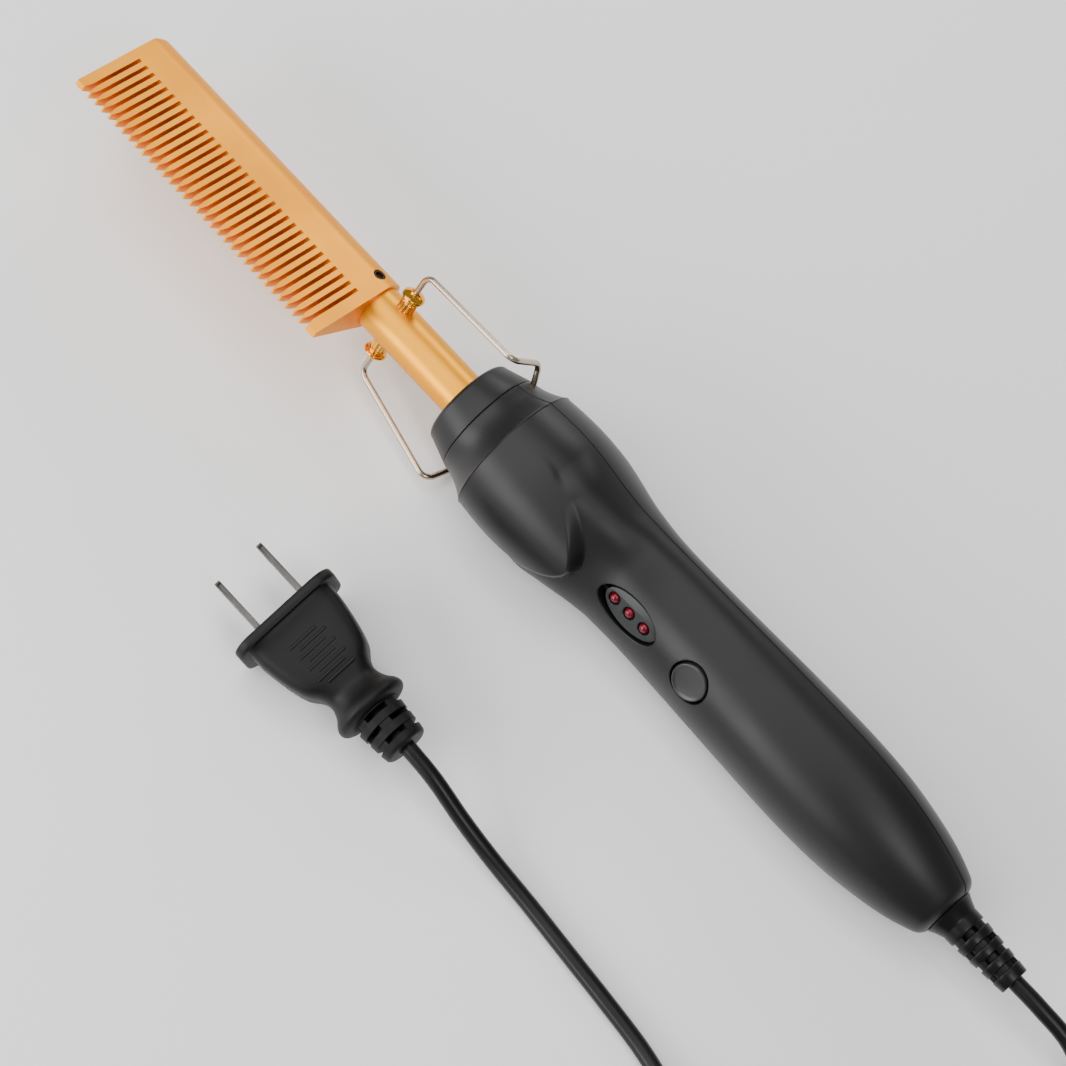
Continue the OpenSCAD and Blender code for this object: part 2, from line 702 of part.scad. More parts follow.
module board_screws() {
    color("#9a9ca0") laid_down() for (x = board_screw_at) translate([x, 0, 0]) {
        translate([0, 0, board_top]) cylinder(h = 1.2, d = 3.6);
        translate([0, 0, board_top - 5.5]) cylinder(h = 5.6, d = board_screw_d - 0.3);
    }
}

module control_chip() {
    color("#1c1d1f") laid_down() translate([73, -2.5, board_top]) {
        cube([6, 5, 1.5]);
        for (i = [0 : 3], s = [-1, 1]) translate([0.9 + i * 1.27, s < 0 ? -1.2 : 5, 0]) cube([0.45, 1.2, 0.7]);
    }
}

module power_triac() {
    color("#26282b") laid_down() translate([90, -7, board_top]) {
        cube([4.5, 10, 1.4]);
        translate([0, 0, 1.4]) cube([4.5, 6.5, 3]);
    }
}

module filter_capacitor() {
    color("#c99a2e") laid_down() translate([96.5, -6, board_top]) cube([5.5, 12, 5]);
}

module thermal_fuse() {
    color("#d8d3c6") laid_down() translate([64.5, -7.2, board_top + 1.6]) {
        along_x() cylinder(h = 9, d = 2.6);
        for (x = [-1.6, 9]) translate([x, 0, 0]) along_x() cylinder(h = 1.6, d = 0.7, $fn = 16);
        for (x = [-1.3, 10.3]) translate([x, 0, -1.6]) cylinder(h = 1.6, d = 0.7, $fn = 16);
    }
}

// ---- leads inside the handle ----

lead_d = 1.4;
lead_y = 2.1;

module heater_leads() {
    color("#b8342c") laid_down() for (s = [-1, 1])
        swept(bent([[heater_rear + 1.3, s * lead_y, 0], [34, s * lead_y, 0], [44, s * 6.4, 1],
            [50, s * 6.4, board_top + lead_d / 2 + 0.3], [board_x0 + 8, s * 6.4, board_top + lead_d / 2 + 0.3]],
            4, 3), lead_d, 8);
}

module sensor_leads() {
    color("#d9d6cf") laid_down() for (s = [-1, 1])
        swept(bent([[spreader_rear + 0.3, s * 0.6, -spreader_r / 2 - 0.5], [36, s * 0.6, -spreader_r / 2 - 0.5],
            [41, s * 4.4, -1], [49, s * 4.4, board_top + 0.8], [board_x0 + 7, s * 4.4, board_top + 0.8]],
            3, 3), 0.9, 8);
}

module mains_leads() {
    color("#3a3f8c") laid_down() for (s = [-1, 1])
        swept(bent([[brush_x[0] + 1, s * 6.75, brush_deck + 0.4], [brush_x[0] - 6, s * 6.75, -3],
            [board_x1 + 12, s * 7, 2], [board_x1 + 4, s * 7, board_top + lead_d / 2 + 0.1], [board_x1 - 8, s * 7, board_top + lead_d / 2 + 0.1]],
            4, 3), lead_d, 8);
}

// ---- cord swivel ----

flange_rear = hollow_end - 0.15;
flange_front = flange_rear - 2.4;
ring_w = 3;
ring_gap = 2;
slip_x = [flange_front - 2 * ring_w - 2 * ring_gap, flange_front - ring_w - ring_gap];
spool_front = slip_x[0] - ring_gap;
spool_core_r = 2.6;
ring_r = slip_ring_d / 2;

relief_slots = 4;
relief_turn = 51;   // the side of the swivel that lies up

module strain_relief() {
    x0 = handle_len + 0.15;
    x1 = handle_len + relief_cone;
    x2 = handle_len + relief_len;
    slots_at = x1 + relief_collar;
    pitch = (x2 - slots_at) / (relief_slots + 0.2);
    color("#202021") laid_down() difference() {
        turned([[flange_front, 0], [flange_front, swivel_flange_d / 2], [flange_rear, swivel_flange_d / 2],
            [flange_rear, swivel_neck_d / 2], [x0, swivel_neck_d / 2], [x0, relief_root_d / 2],
            [x1, relief_rib_d / 2], [slots_at, relief_rib_d / 2],
            [x2 - 0.6, relief_end_d / 2], [x2, relief_end_d / 2 - 0.6], [x2, 0]]);
        // rings of four short slots, each ring turned half a step from the one before
        for (i = [0 : relief_slots - 1], k = [0 : 3]) rotate([relief_turn + 45 * i + 90 * k, 0, 0])
            translate([slots_at + i * pitch, cord_d / 2 + 0.9, -relief_slot_w / 2])
                cube([relief_gap, relief_rib_d, relief_slot_w]);
    }
}

module swivel_spool() {
    color("#d8d5cc") laid_down() turned([[spool_front, 0], [spool_front, ring_r + 0.5],
        [slip_x[0] - 0.05, ring_r + 0.5], [slip_x[0] - 0.05, spool_core_r],
        [slip_x[0] + ring_w + 0.05, spool_core_r], [slip_x[0] + ring_w + 0.05, ring_r + 0.5],
        [slip_x[1] - 0.05, ring_r + 0.5], [slip_x[1] - 0.05, spool_core_r],
        [flange_front, spool_core_r], [flange_front, 0]]);
}

module slip_ring(x) {
    color("#d9a441") laid_down() difference() {
        tube_x(x, x + ring_w, ring_r);
        tube_x(x - 1, x + ring_w + 1, spool_core_r + seat_gap);
    }
}
module slip_ring_live() { slip_ring(slip_x[0]); }
module slip_ring_neutral() { slip_ring(slip_x[1]); }

brush_x = slip_x;
brush_t = 0.4;
brush_deck = -ring_r - 2;

module brush_holder() {
    x0 = spool_front + 0.5;
    color("#e2ddd0") laid_down() difference() {
        intersection() {
            translate([x0, -6, -belly_d / 2]) cube([flange_front - 0.6 - x0, 12, belly_d / 2 + brush_deck]);
            // follows the inside of the back shell
            skin([for (x = hollow_stations) if (x > x0 - 14) let (w = side(x) - shell_wall - 0.1,
                h = back(x) - shell_wall - 0.1)
                [for (t = [180 : -20 : 0]) let (p = oval(w, h, 2, t)) [x, p[0], -p[1]]]]);
        }
    }
}

// A leaf spring standing on the holder and touching its ring from the side
module brush(x, s) {
    color("#d8a648") laid_down() translate([x + 0.3, 0, 0]) {
        translate([0, s > 0 ? ring_r + 0.1 : -ring_r - 0.1 - brush_t, brush_deck + 0.02])
            cube([ring_w - 0.6, brush_t, 1.5 - brush_deck]);
        translate([0, s > 0 ? ring_r + 0.1 : -6, brush_deck + 0.02]) cube([ring_w - 0.6, 6 - ring_r - 0.1, brush_t]);
    }
}
module brush_live() { brush(brush_x[0], 1); }
module brush_neutral() { brush(brush_x[1], -1); }

// ---- cord, coil and plug on the table ----

cord_r = cord_d / 2;
relief_end = handle_len + relief_len + 0.03;
relief_dir = [cos(rest_pitch), 0, -sin(rest_pitch)];
cord_start = [-overall_mid, rest_side, rest_height] + relief_end * relief_dir;
coil_at = [167.5, -72];   // middle of the coil
coil_r = 24;            // middle of the bundle, which is coil_w wide and coil_h high
coil_w = 14.5;
coil_h = 16.4;
tie_w = 5;
tie_t = 0.6;
tie_slack = 0.3;
plug_y = -62.7;
plug_face_x = -23.9;
// The plug leans a little on one edge of its rim
plug_roll = 10;
plug_z = plug_h / 2 * cos(plug_roll) + plug_w / 2 * sin(plug_roll) + 0.05;
plug_tail_x = plug_face_x + plug_body_l + plug_relief_l + 0.03;

// Hand-placed points from the strain relief down to the table and round into the coil
route_to_coil = [cord_start + relief_dir, cord_start + 8 * relief_dir, [164.5, 0.4, 11.2], [173.5, -3.4, 8.4],
    [181.1, -11, 5.2], [186.3, -21, 3.1], [189.5, -32, 2.3], [191.9, -44, 2.2], [193.9, -55.5, 2.4],
    [196.06, -66.96, 2.65]];
// From the coil's top layer down to the table and across to the plug
route_to_plug = [[149.65, -94.85, 14.8], [142, -88.9, 14.2], [133.5, -82.4, 11.4], [123.5, -76, 7.2],
    [113.5, -71.4, 3.8], [102.5, -68.6, 2.3], [89.5, -67.2, 2.15], [75.5, -66.1, 2.15], [61.5, -65, 2.2],
    [48.5, -64.4, 3.3], [37.5, -63.8, 6.1], [27, -62.9, 9.8], [plug_tail_x + 1, plug_y, plug_z]];

module cord_to_coil() { color("#1d1d1e") swept(concat([cord_start], spline(route_to_coil, 3)), cord_d); }
module cord_to_plug() {
    color("#1d1d1e") swept(concat(spline(route_to_plug, 3), [[plug_tail_x, plug_y, plug_z]]), cord_d);
}

// The bundle of turns, lifted off the table by its tie
module cord_coil() {
    color("#1d1d1e") translate([coil_at[0], coil_at[1], tie_t]) rotate_extrude()
        translate([coil_r - coil_w / 2, 0]) difference() {
            square([coil_w, coil_h]);
            for (x = [0, coil_w], y = [0, coil_h]) translate([x, y]) rotate([0, 0, 45])
                square(cord_r, center = true);
        }
}

// A strap round the bundle, on the side towards the handle
module coil_tie() {
    reach = coil_w + 2 * tie_slack;
    inner_h = coil_h + seat_gap;
    color("#2c2c2e") translate([coil_at[0] - coil_r, coil_at[1] + tie_w / 2, 0]) rotate([90, 0, 0])
        linear_extrude(tie_w) difference() {
            translate([-reach / 2 - tie_t, 0]) square([reach + 2 * tie_t, inner_h + 2 * tie_t]);
            translate([-reach / 2, tie_t]) square([reach, inner_h]);
        }
}

// Share of the length behind the rim, half width and half height of the plug's body and its collar
plug_shape = [[0, 12.2, 7.4], [0.16, 11.9, 7.3], [0.37, 10.8, 7], [0.54, 9.4, 6.7], [0.65, 7.3, 6.2],
    [0.74, 6.6, 6], [0.83, 7.4, 6.9], [0.9, 8.9, 8.3], [0.95, 9.2, 8.7], [0.985, 8.5, 8], [1, 7, 6.8]];
plug_boot_d = 12.8;
plug_boot_end_d = 11.1;

ridge_count = 8;
ridge_at = 8.5;
ridge_pitch = 1.6;
ridge_w = 0.7;
ridge_l = 7.4;
ridge_h = 0.55;
ridge_stagger = 1.6;
ridge_z = 7;

module plug_place() {
    translate([plug_face_x, plug_y, plug_z]) rotate([plug_roll, 0, 0]) children();
}

module plug_body() {
    back_l = plug_body_l - plug_rim;
    end_x = plug_body_l + plug_relief_l;
    rings = [for (p = spline(plug_shape, 2)) let (e = 0.5 + 0.5 * smooth((p[0] - 0.5) / 0.3))
        [for (a = [0 : 20 : 340]) let (c = cos(a), q = sin(a))
            [p[0] * back_l, p[1] * sign(c) * pow(abs(c), e), p[2] * sign(q) * pow(abs(q), e)]]];
    color("#1f1f20") plug_place() difference() {
        union() {
            // the rim, with its rear corners sloped back to the body
            linear_extrude(plug_h, center = true) polygon([[0, -plug_w / 2], [0, plug_w / 2],
                [plug_rim, plug_w / 2], [plug_rim + 1.4, plug_w / 2 - 2.2], [plug_rim + 1.4, 2.2 - plug_w / 2],
                [plug_rim, -plug_w / 2]]);
            translate([plug_rim - eps, 0, 0]) skin(rings);
            // grip ridges across both flat faces, staggered
            for (i = [0 : ridge_count - 1], k = [0, 1]) mirror([0, 0, k])
                translate([ridge_at + i * ridge_pitch, (i % 2 - 0.5) * ridge_stagger, ridge_z - 0.055 * i * ridge_pitch])
                    cube([ridge_w, ridge_l, 2 * ridge_h], center = true);
            turned([[plug_body_l - 4, 0], [plug_body_l - 4, plug_boot_d / 2], [plug_body_l, plug_boot_d / 2],
                [end_x - 0.8, plug_boot_end_d / 2], [end_x, plug_boot_end_d / 2 - 0.8], [end_x, 0]]);
        }
        for (i = [0 : 2], k = [0 : 3]) rotate([45 * i + 90 * k, 0, 0])
            translate([plug_body_l + 0.3 + i * 3.3, cord_r + 1.2, -3.1])
                cube([1.3, plug_boot_d, 6.2]);
        for (s = [-1, 1]) translate([-1, s * blade_pitch / 2 - blade_t / 2 - seat_gap, -blade_w / 2 - seat_gap])
            cube([11, blade_t + 2 * seat_gap, blade_w + 2 * seat_gap]);
    }
}

module plug_blade(s) {
    color("#b9b7b0") plug_place() difference() {
        translate([-blade_l, s * blade_pitch / 2 - blade_t / 2, -blade_w / 2]) cube([blade_l + 9.9, blade_t, blade_w]);
        translate([-blade_l + 3.8, s * blade_pitch / 2 - 2, 0]) rotate([-90, 0, 0]) cylinder(h = 4, d = 3);
    }
}
module plug_blade_left() { plug_blade(1); }
module plug_blade_right() { plug_blade(-1); }

comb_head();
head_set_screw();
barrel_tube();
heat_spreader();
ceramic_heater();
temperature_sensor();
guard_post_upper();
guard_post_lower();
guard_wire_upper();
guard_wire_lower();
nose_ring();
barrel_holder();
front_shell();
back_shell();
shell_screws();
light_window();
light_low();
light_mid();
light_high();
power_button();
switch_plunger();
switch_body();
control_board();
board_screws();
control_chip();
power_triac();
filter_capacitor();
thermal_fuse();
heater_leads();
sensor_leads();
mains_leads();
brush_holder();
brush_live();
brush_neutral();
swivel_spool();
slip_ring_live();
slip_ring_neutral();
strain_relief();
cord_to_coil();
cord_coil();
coil_tie();
cord_to_plug();
plug_body();
plug_blade_left();
plug_blade_right();
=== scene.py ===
"""An electric hot comb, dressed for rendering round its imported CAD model.

Shapes are worked out in millimetres round the barrel's axis: +X runs from the comb head to the cord,
+Z is the side of the teeth and the button, +Y and -Y are the sides of the two guard wires. LAID then
lays them on the table in metres, as the CAD model lies. Cord and plug are drawn on the table itself.
"""

from math import acos, atan2, ceil, copysign, cos, pi, radians, sin, sqrt, tan
from types import SimpleNamespace

import bmesh
import bpy
from bpy.props import FloatProperty, FloatVectorProperty, IntProperty, PointerProperty
from mathutils import Matrix, Vector


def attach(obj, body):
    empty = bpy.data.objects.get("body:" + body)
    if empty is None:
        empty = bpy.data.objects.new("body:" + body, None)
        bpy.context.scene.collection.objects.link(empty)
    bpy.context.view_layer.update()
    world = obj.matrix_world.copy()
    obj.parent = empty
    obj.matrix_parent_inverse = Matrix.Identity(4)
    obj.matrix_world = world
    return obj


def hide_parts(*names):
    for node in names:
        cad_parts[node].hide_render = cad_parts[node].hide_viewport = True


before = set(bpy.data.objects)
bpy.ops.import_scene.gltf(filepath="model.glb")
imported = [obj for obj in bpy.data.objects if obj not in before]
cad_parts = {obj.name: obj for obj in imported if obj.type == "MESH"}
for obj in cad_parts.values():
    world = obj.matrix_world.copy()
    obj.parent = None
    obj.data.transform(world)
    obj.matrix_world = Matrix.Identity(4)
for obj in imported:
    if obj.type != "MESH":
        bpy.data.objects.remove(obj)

bl_info = {
    "name": "Hot Comb",
    "version": (1, 0, 0),
    "blender": (4, 5, 0),
    "location": "View3D > Sidebar > Hot Comb",
    "description": "Builds the pieces, finishes and studio of an electric hot comb",
    "category": "Object",
}

MM = 0.001
COMB = "comb"
BUTTON = "button"
SWIVEL = "cord_swivel"

REST_ROLL = 36.0
REST_PITCH = 1.81
REST_HEIGHT = 18.68
REST_SIDE = 0.8


# ---- the sizes and colours that a user may change ----


def length(name, description, millimetres):
    """A length that the sidebar shows in the scene's own unit."""
    return FloatProperty(name=name, description=description, default=millimetres * MM, min=0.0,
                         unit="LENGTH", subtype="DISTANCE")


def colour(name, description, value):
    """A colour, without alpha."""
    return FloatVectorProperty(name=name, description=description, default=value, size=3, min=0.0,
                               max=1.0, subtype="COLOR")


class HotCombSizes(bpy.types.PropertyGroup):
    """Sizes of the comb, its handle and its cord"""

    head_len: length("Head length", "Length of the comb head", 82.6)
    spine_d: length("Spine diameter", "Diameter of the comb head's round spine", 13.7)
    tooth_h: length("Tooth height", "Height of the tooth tips over the barrel's axis", 24.0)
    edge_t: length("Edge thickness", "Thickness of the comb at the tooth tips", 1.6)
    slot_count: IntProperty(name="Slots", description="Number of slots between the teeth", default=33,
                            min=2)
    slot_w: length("Slot width", "Width of each slot", 1.0)
    slot_root: length("Slot root", "Height of the slot roots over the barrel's axis", 7.6)
    far_land: length("Far land", "Width of the solid tooth at the far end", 2.7)
    near_land: length("Near land", "Width of the solid tooth at the barrel end", 3.2)
    tooth_taper: length("Tooth taper", "Length over which each tooth tapers to its tip", 2.2)
    tooth_tip_w: length("Tooth tip", "Width of each tooth at its very tip", 0.5)
    spine_round: length("Spine rounding", "Rounding of the spine's far corner", 1.4)
    barrel_d: length("Barrel diameter", "Outer diameter of the barrel", 11.5)
    barrel_wall: length("Barrel wall", "Wall of the barrel", 0.9)
    barrel_show: length("Barrel length", "Length of barrel between the comb head and the handle", 30.6)
    barrel_grip: length("Barrel in the handle", "Length of barrel inside the handle", 27.0)
    barrel_in_head: length("Barrel in the head", "Length of barrel inside the comb head", 77.0)
    post_gap: length("Post place", "Distance from the comb head to the guard posts", 5.9)
    post_d: length("Post shank", "Diameter of a post's fluted shank", 4.2)
    post_head_d: length("Post head", "Diameter of a post's domed head", 5.8)
    post_shank_h: length("Post shank height", "Height of a post's shank over the barrel", 2.3)
    post_head_h: length("Post head height", "Height of the post's domed head", 2.8)
    flutes: IntProperty(name="Flutes", description="Number of flutes round a post's shank", default=8,
                        min=3)
    wire_d: length("Wire diameter", "Diameter of the guard wires", 1.5)
    wire_rise: length("Wire rise", "Distance of the wire's first bend from the barrel's axis", 16.8)
    wire_span: length("Wire span", "Distance of the wire's shoulder from the barrel's axis", 21.3)
    wire_lift: length("Wire lift", "Height of the wire's shoulder towards the tooth side", 4.9)
    wire_bend: length("Wire bend", "Radius of the bends in the wire", 2.6)
    handle_len: length("Handle length", "Length of the handle from the nose ring's rim to its tail", 159.0)
    nose_d: length("Nose diameter", "Diameter of the nose ring at its rim", 23.4)
    nose_len: length("Nose length", "Length of the nose ring's cone", 7.6)
    neck_d: length("Neck diameter", "Diameter of the neck behind the nose ring", 27.8)
    neck_len: length("Neck length", "Length of the neck", 8.7)
    step_d: length("Step diameter", "Diameter at the edge where the neck meets the belly", 34.2)
    belly_d: length("Belly diameter", "Diameter of the belly", 35.5)
    waist_w: length("Waist width", "Width of the grip at its waist", 30.6)
    waist_t: length("Waist thickness", "Thickness of the grip at its waist", 22.5)
    swell_w: length("Swell width", "Width of the rear swell", 32.4)
    swell_t: length("Swell thickness", "Thickness of the rear swell", 27.2)
    tail_d: length("Tail diameter", "Diameter that the tail runs down to", 15.8)
    tail_round: length("Tail rounding", "Rounding of the tail's rim", 2.2)
    shell_wall: length("Shell wall", "Wall of the two shells", 2.0)
    crest_end: length("Crest end", "Where the thumb crest ends, from the nose rim", 48.3)
    crest_w: length("Crest width", "Width of the crest over the belly", 28.0)
    crest_slope: length("Crest slope", "Width of the step round the crest", 1.1)
    button_d: length("Button diameter", "Diameter of the push button's guide", 10.1)
    button_at: length("Button place", "Place of the push button from the nose rim", 83.7)
    button_sink: length("Button sink", "How far the button's top lies below the grip's crown", 0.15)
    window_l: length("Window length", "Length of the oval window", 17.4)
    window_w: length("Window width", "Width of the oval window", 9.0)
    window_at: length("Window place", "Place of the window's middle from the nose rim", 63.0)
    light_pitch: length("Light spacing", "Distance between the three lights", 4.75)
    light_d: length("Light diameter", "Diameter of each light", 3.0)
    relief_root_d: length("Relief root", "Diameter of the strain relief at the tail", 12.6)
    relief_cone: length("Relief cone", "Length of the strain relief's smooth cone", 3.5)
    relief_collar: length("Relief collar", "Length of the collar behind the cone", 2.7)
    relief_rib_d: length("Relief rib", "Diameter of the strain relief's first rib", 9.5)
    relief_end_d: length("Relief end", "Diameter of the strain relief's last rib", 7.4)
    relief_len: length("Relief length", "Length of the strain relief behind the tail", 21.0)
    relief_gap: length("Relief slot", "Width of the slots between the ribs", 1.3)
    relief_slot_w: length("Relief slot length", "Length of each slot round the strain relief", 5.0)
    plug_w: length("Plug width", "Width of the plug's face", 28.5)
    plug_h: length("Plug height", "Height of the plug's face", 18.0)
    plug_rim: length("Plug rim", "Thickness of the rim behind the plug's face", 2.6)
    plug_body_l: length("Plug length", "Length of the plug's body", 31.0)
    plug_relief_l: length("Plug relief", "Length of the plug's ribbed strain relief", 10.5)
    blade_pitch: length("Blade spacing", "Distance between the two blades", 12.7)
    blade_l: length("Blade length", "Length of the blades", 15.9)
    blade_w: length("Blade width", "Width of a blade", 6.3)
    blade_t: length("Blade thickness", "Thickness of a blade", 1.5)
    cord_d: length("Cord diameter", "Diameter of the cord", 4.0)


class HotCombColours(bpy.types.PropertyGroup):
    """Colours of the comb's finishes"""

    head: colour("Comb head", "Colour of the coated comb head", (0.95, 0.38, 0.02))
    barrel: colour("Barrel", "Colour of the coated barrel", (0.92, 0.38, 0.008))
    brass: colour("Brass", "Colour of the polished guard posts", (0.95, 0.46, 0.05))
    steel: colour("Steel", "Colour of the guard wires", (0.60, 0.49, 0.38))
    plastic: colour("Handle", "Colour of the handle's plastic", (0.007, 0.007, 0.0075))
    panel: colour("Window", "Colour of the window over the lights", (0.030, 0.034, 0.033))
    lens: colour("Lights", "Colour of the three lights", (0.17, 0.002, 0.012))
    rubber: colour("Cord", "Colour of the cord and its strain relief", (0.0022, 0.0022, 0.0024))
    plug: colour("Plug", "Colour of the moulded plug", (0.004, 0.004, 0.0043))
    # the blades' colour is darkened far below nickel's own, as painted shade standing in for dark
    # reflections
    nickel: colour("Blades", "Colour of the plug's blades", (0.025, 0.024, 0.023))


def sizes():
    """The sizes of the sidebar, in millimetres, with the counts as they are."""
    group = bpy.context.scene.hot_comb_sizes
    values = {}
    for name in group.__annotations__:
        value = getattr(group, name)
        values[name] = value if isinstance(value, int) else value / MM
    return SimpleNamespace(**values)


def laid():
    """The matrix that lays the comb on the table and turns millimetres into metres."""
    s = sizes()
    middle = (s.handle_len + s.relief_len - s.barrel_show - s.head_len) / 2
    return (Matrix.Translation(Vector((-middle, REST_SIDE, REST_HEIGHT)) * MM)
            @ Matrix.Rotation(radians(REST_PITCH), 4, "Y")
            @ Matrix.Rotation(radians(90 - REST_ROLL), 4, "X") @ Matrix.Scale(MM, 4))


# ---- small tools for meshes ----


def make_piece(name, points, faces, place=None, sharp=30.0):
    """A mesh object at the origin, smooth but for edges sharper than the given angle."""
    mesh = bpy.data.meshes.new(name)
    mesh.from_pydata([tuple(p) for p in points], [], faces)
    mesh.transform(place if place is not None else Matrix.Scale(MM, 4))
    piece = bpy.data.objects.new(name, mesh)
    bpy.context.scene.collection.objects.link(piece)
    tidy_normals(piece, sharp)
    return piece


def tidy_normals(piece, sharp=30.0):
    """Merges doubles, turns faces outwards and marks the sharp edges."""
    mesh = piece.data
    work = bmesh.new()
    work.from_mesh(mesh)
    bmesh.ops.remove_doubles(work, verts=work.verts, dist=1e-7)
    bmesh.ops.delete(work, geom=[e for e in work.edges if not e.link_faces], context="EDGES")
    bmesh.ops.recalc_face_normals(work, faces=work.faces)
    work.to_mesh(mesh)
    work.free()
    shade(mesh, sharp)
    mesh.update()


def shade(mesh, sharp):
    """Makes a mesh smooth but for edges sharper than the given angle."""
    mesh.polygons.foreach_set("use_smooth", [True] * len(mesh.polygons))
    mesh.set_sharp_from_angle(angle=radians(sharp))


def settle(piece, sharp=30.0):
    """Turns the modifiers on a piece into plain mesh."""
    ready = piece.evaluated_get(bpy.context.evaluated_depsgraph_get())
    mesh = bpy.data.meshes.new_from_object(ready)
    piece.modifiers.clear()
    old = piece.data
    piece.data = mesh
    bpy.data.meshes.remove(old)
    mesh.name = piece.name
    shade(mesh, sharp)


def cut(piece, name, points, faces, place=None):
    """Cuts a named solid out of a piece."""
    other = make_piece(name, points, faces, place)
    step = piece.modifiers.new("Difference", "BOOLEAN")
    step.operation = "DIFFERENCE"
    step.solver = "EXACT"
    step.object = other
    settle(piece)
    bpy.data.objects.remove(other)


def soften(piece, width):
    """Rounds a piece's edges over a width in millimetres."""
    step = piece.modifiers.new("Soft edges", "BEVEL")
    step.width = width * MM
    step.segments = 2
    step.limit_method = "ANGLE"
    step.angle_limit = radians(32)
    step.use_clamp_overlap = True
    step.harden_normals = True
    settle(piece, 40.0)


def mirror_z(piece):
    """Mirrors a piece to its other side in Z."""
    piece.data.transform(Matrix.Scale(-1, 4, (0, 0, 1)))
    piece.data.flip_normals()


def at(x, y=0.0, turn=0.0):
    """A matrix that moves by x and y, in millimetres, and turns round the X axis."""
    return Matrix.Translation((x, y, 0)) @ Matrix.Rotation(radians(turn), 4, "X")


def lay(piece, place):
    """Moves a piece that is drawn in metres by a matrix meant for millimetres."""
    piece.data.transform(place @ Matrix.Scale(1 / MM, 4))


def join_pieces(name, pieces):
    """Joins several objects into one."""
    with bpy.context.temp_override(active_object=pieces[0], selected_editable_objects=pieces):
        bpy.ops.object.join()
    pieces[0].name = name
    return pieces[0]


def finish_with(piece, material):
    """Gives a piece its material."""
    piece.data.materials.clear()
    piece.data.materials.append(material)


def dress(piece, body, slot, *nodes):
    """Gives a piece the finish of its material slot and its body, and hides the CAD nodes that it stands in
    for.
    """
    finish_with(piece, slot_finish(slot))
    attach(piece, body)
    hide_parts(*nodes)


def loft(rings, capped=True):
    """Points and faces of a skin through rings of equally many points."""
    count = len(rings[0])
    points = [p for ring in rings for p in ring]
    faces = []
    for i in range(len(rings) - 1):
        for j in range(count):
            k = (j + 1) % count
            faces.append((i * count + j, i * count + k, (i + 1) * count + k, (i + 1) * count + j))
    if capped:
        faces.append(tuple(range(count)))
        faces.append(tuple((len(rings) - 1) * count + j for j in range(count)))
    return points, faces


def turns(count):
    """The angles of a full turn in equal steps."""
    return [2 * pi * i / count for i in range(count)]


def quarter(steps):
    """The angles from zero to a right angle in equal steps."""
    return [pi / 2 * i / steps for i in range(steps + 1)]


def turned(profile, steps=96):
    """Points and faces of a closed profile of (x, radius) points turned round the X axis."""
    rings = [[(x, r * cos(a), r * sin(a)) for x, r in profile] for a in turns(steps)]
    return loft(rings + [rings[0]], capped=False)


def upright(profile, steps=64):
    """Points and faces of a closed profile of (radius, z) points turned round the Z axis."""
    rings = [[(r * cos(a), r * sin(a), z) for r, z in profile] for a in turns(steps)]
    return loft(rings + [rings[0]], capped=False)


def rod(radius, low, high):
    """The profile of a plain rod along the Z axis."""
    return [(0, low), (radius, low), (radius, high), (0, high)]


def bar(radius, low, high):
    """The profile of a plain rod along the X axis."""
    return [(low, 0), (low, radius), (high, radius), (high, 0)]


def paced(x, *spans):
    """Places from x on, in spans of (end, step) one after another."""
    out = []
    for end, step in spans:
        while x < end:
            out.append(x)
            x += step
    return out


def rounded(profile, radius, steps=4):
    """Rounds the corners of an open run of (a, b) points."""
    out = [profile[0]]
    for before, here, after in zip(profile, profile[1:], profile[2:]):
        p, a, b = (Vector(v) for v in (here, before, after))
        reach = min(radius, (a - p).length * 0.45, (b - p).length * 0.45)
        start = p + (a - p).normalized() * reach
        end = p + (b - p).normalized() * reach
        for i in range(steps + 1):
            t = i / steps
            out.append(tuple((1 - t) ** 2 * start + 2 * t * (1 - t) * p + t * t * end))
    out.append(profile[-1])
    return out


def rounded_box(half_w, half_h, radius, steps=8):
    """A rectangle with rounded corners, as a closed run of points."""
    out = []
    for k, (sy, sz) in enumerate(((1, 1), (-1, 1), (-1, -1), (1, -1))):
        for i in range(steps + 1):
            a = pi / 2 * (k + i / steps)
            out.append((sy * (half_w - radius) + radius * cos(a),
                        sz * (half_h - radius) + radius * sin(a)))
    return out


def box_points(low, high):
    """Points and faces of a box between two corners."""
    points = [(x, y, z) for x in (low[0], high[0]) for y in (low[1], high[1])
              for z in (low[2], high[2])]
    faces = [(0, 1, 3, 2), (4, 6, 7, 5), (0, 4, 5, 1), (2, 3, 7, 6), (0, 2, 6, 4), (1, 5, 7, 3)]
    return points, faces


def bent(points, radius, steps=10):
    """A path through points with an arc of the given radius in each inner corner."""
    path = [Vector(points[0])]
    for before, here, after in zip(points, points[1:], points[2:]):
        p = Vector(here)
        u = (Vector(before) - p).normalized()
        v = (Vector(after) - p).normalized()
        half = u.angle(v) / 2
        centre = p + (u + v).normalized() * radius / sin(half)
        start = (p + u * radius / tan(half) - centre).normalized()
        end = (p + v * radius / tan(half) - centre).normalized()
        sweep = start.angle(end)
        for i in range(steps + 1):
            t = i / steps
            arm = (start * sin((1 - t) * sweep) + end * sin(t * sweep)) / sin(sweep)
            path.append(centre + radius * arm)
    return path + [Vector(points[-1])]


def spline(points, steps):
    """A smooth curve through given points, with some steps between two of them."""
    pts = [Vector(p) for p in points]
    out = []
    for i in range(len(pts) - 1):
        a, b, c, d = pts[max(0, i - 1)], pts[i], pts[i + 1], pts[min(len(pts) - 1, i + 2)]
        for k in range(steps):
            t = k / steps
            out.append(0.5 * (2 * b + (c - a) * t + (2 * a - 5 * b + 4 * c - d) * t * t
                              + (3 * b - a - 3 * c + d) * t * t * t))
    return out + [pts[-1]]


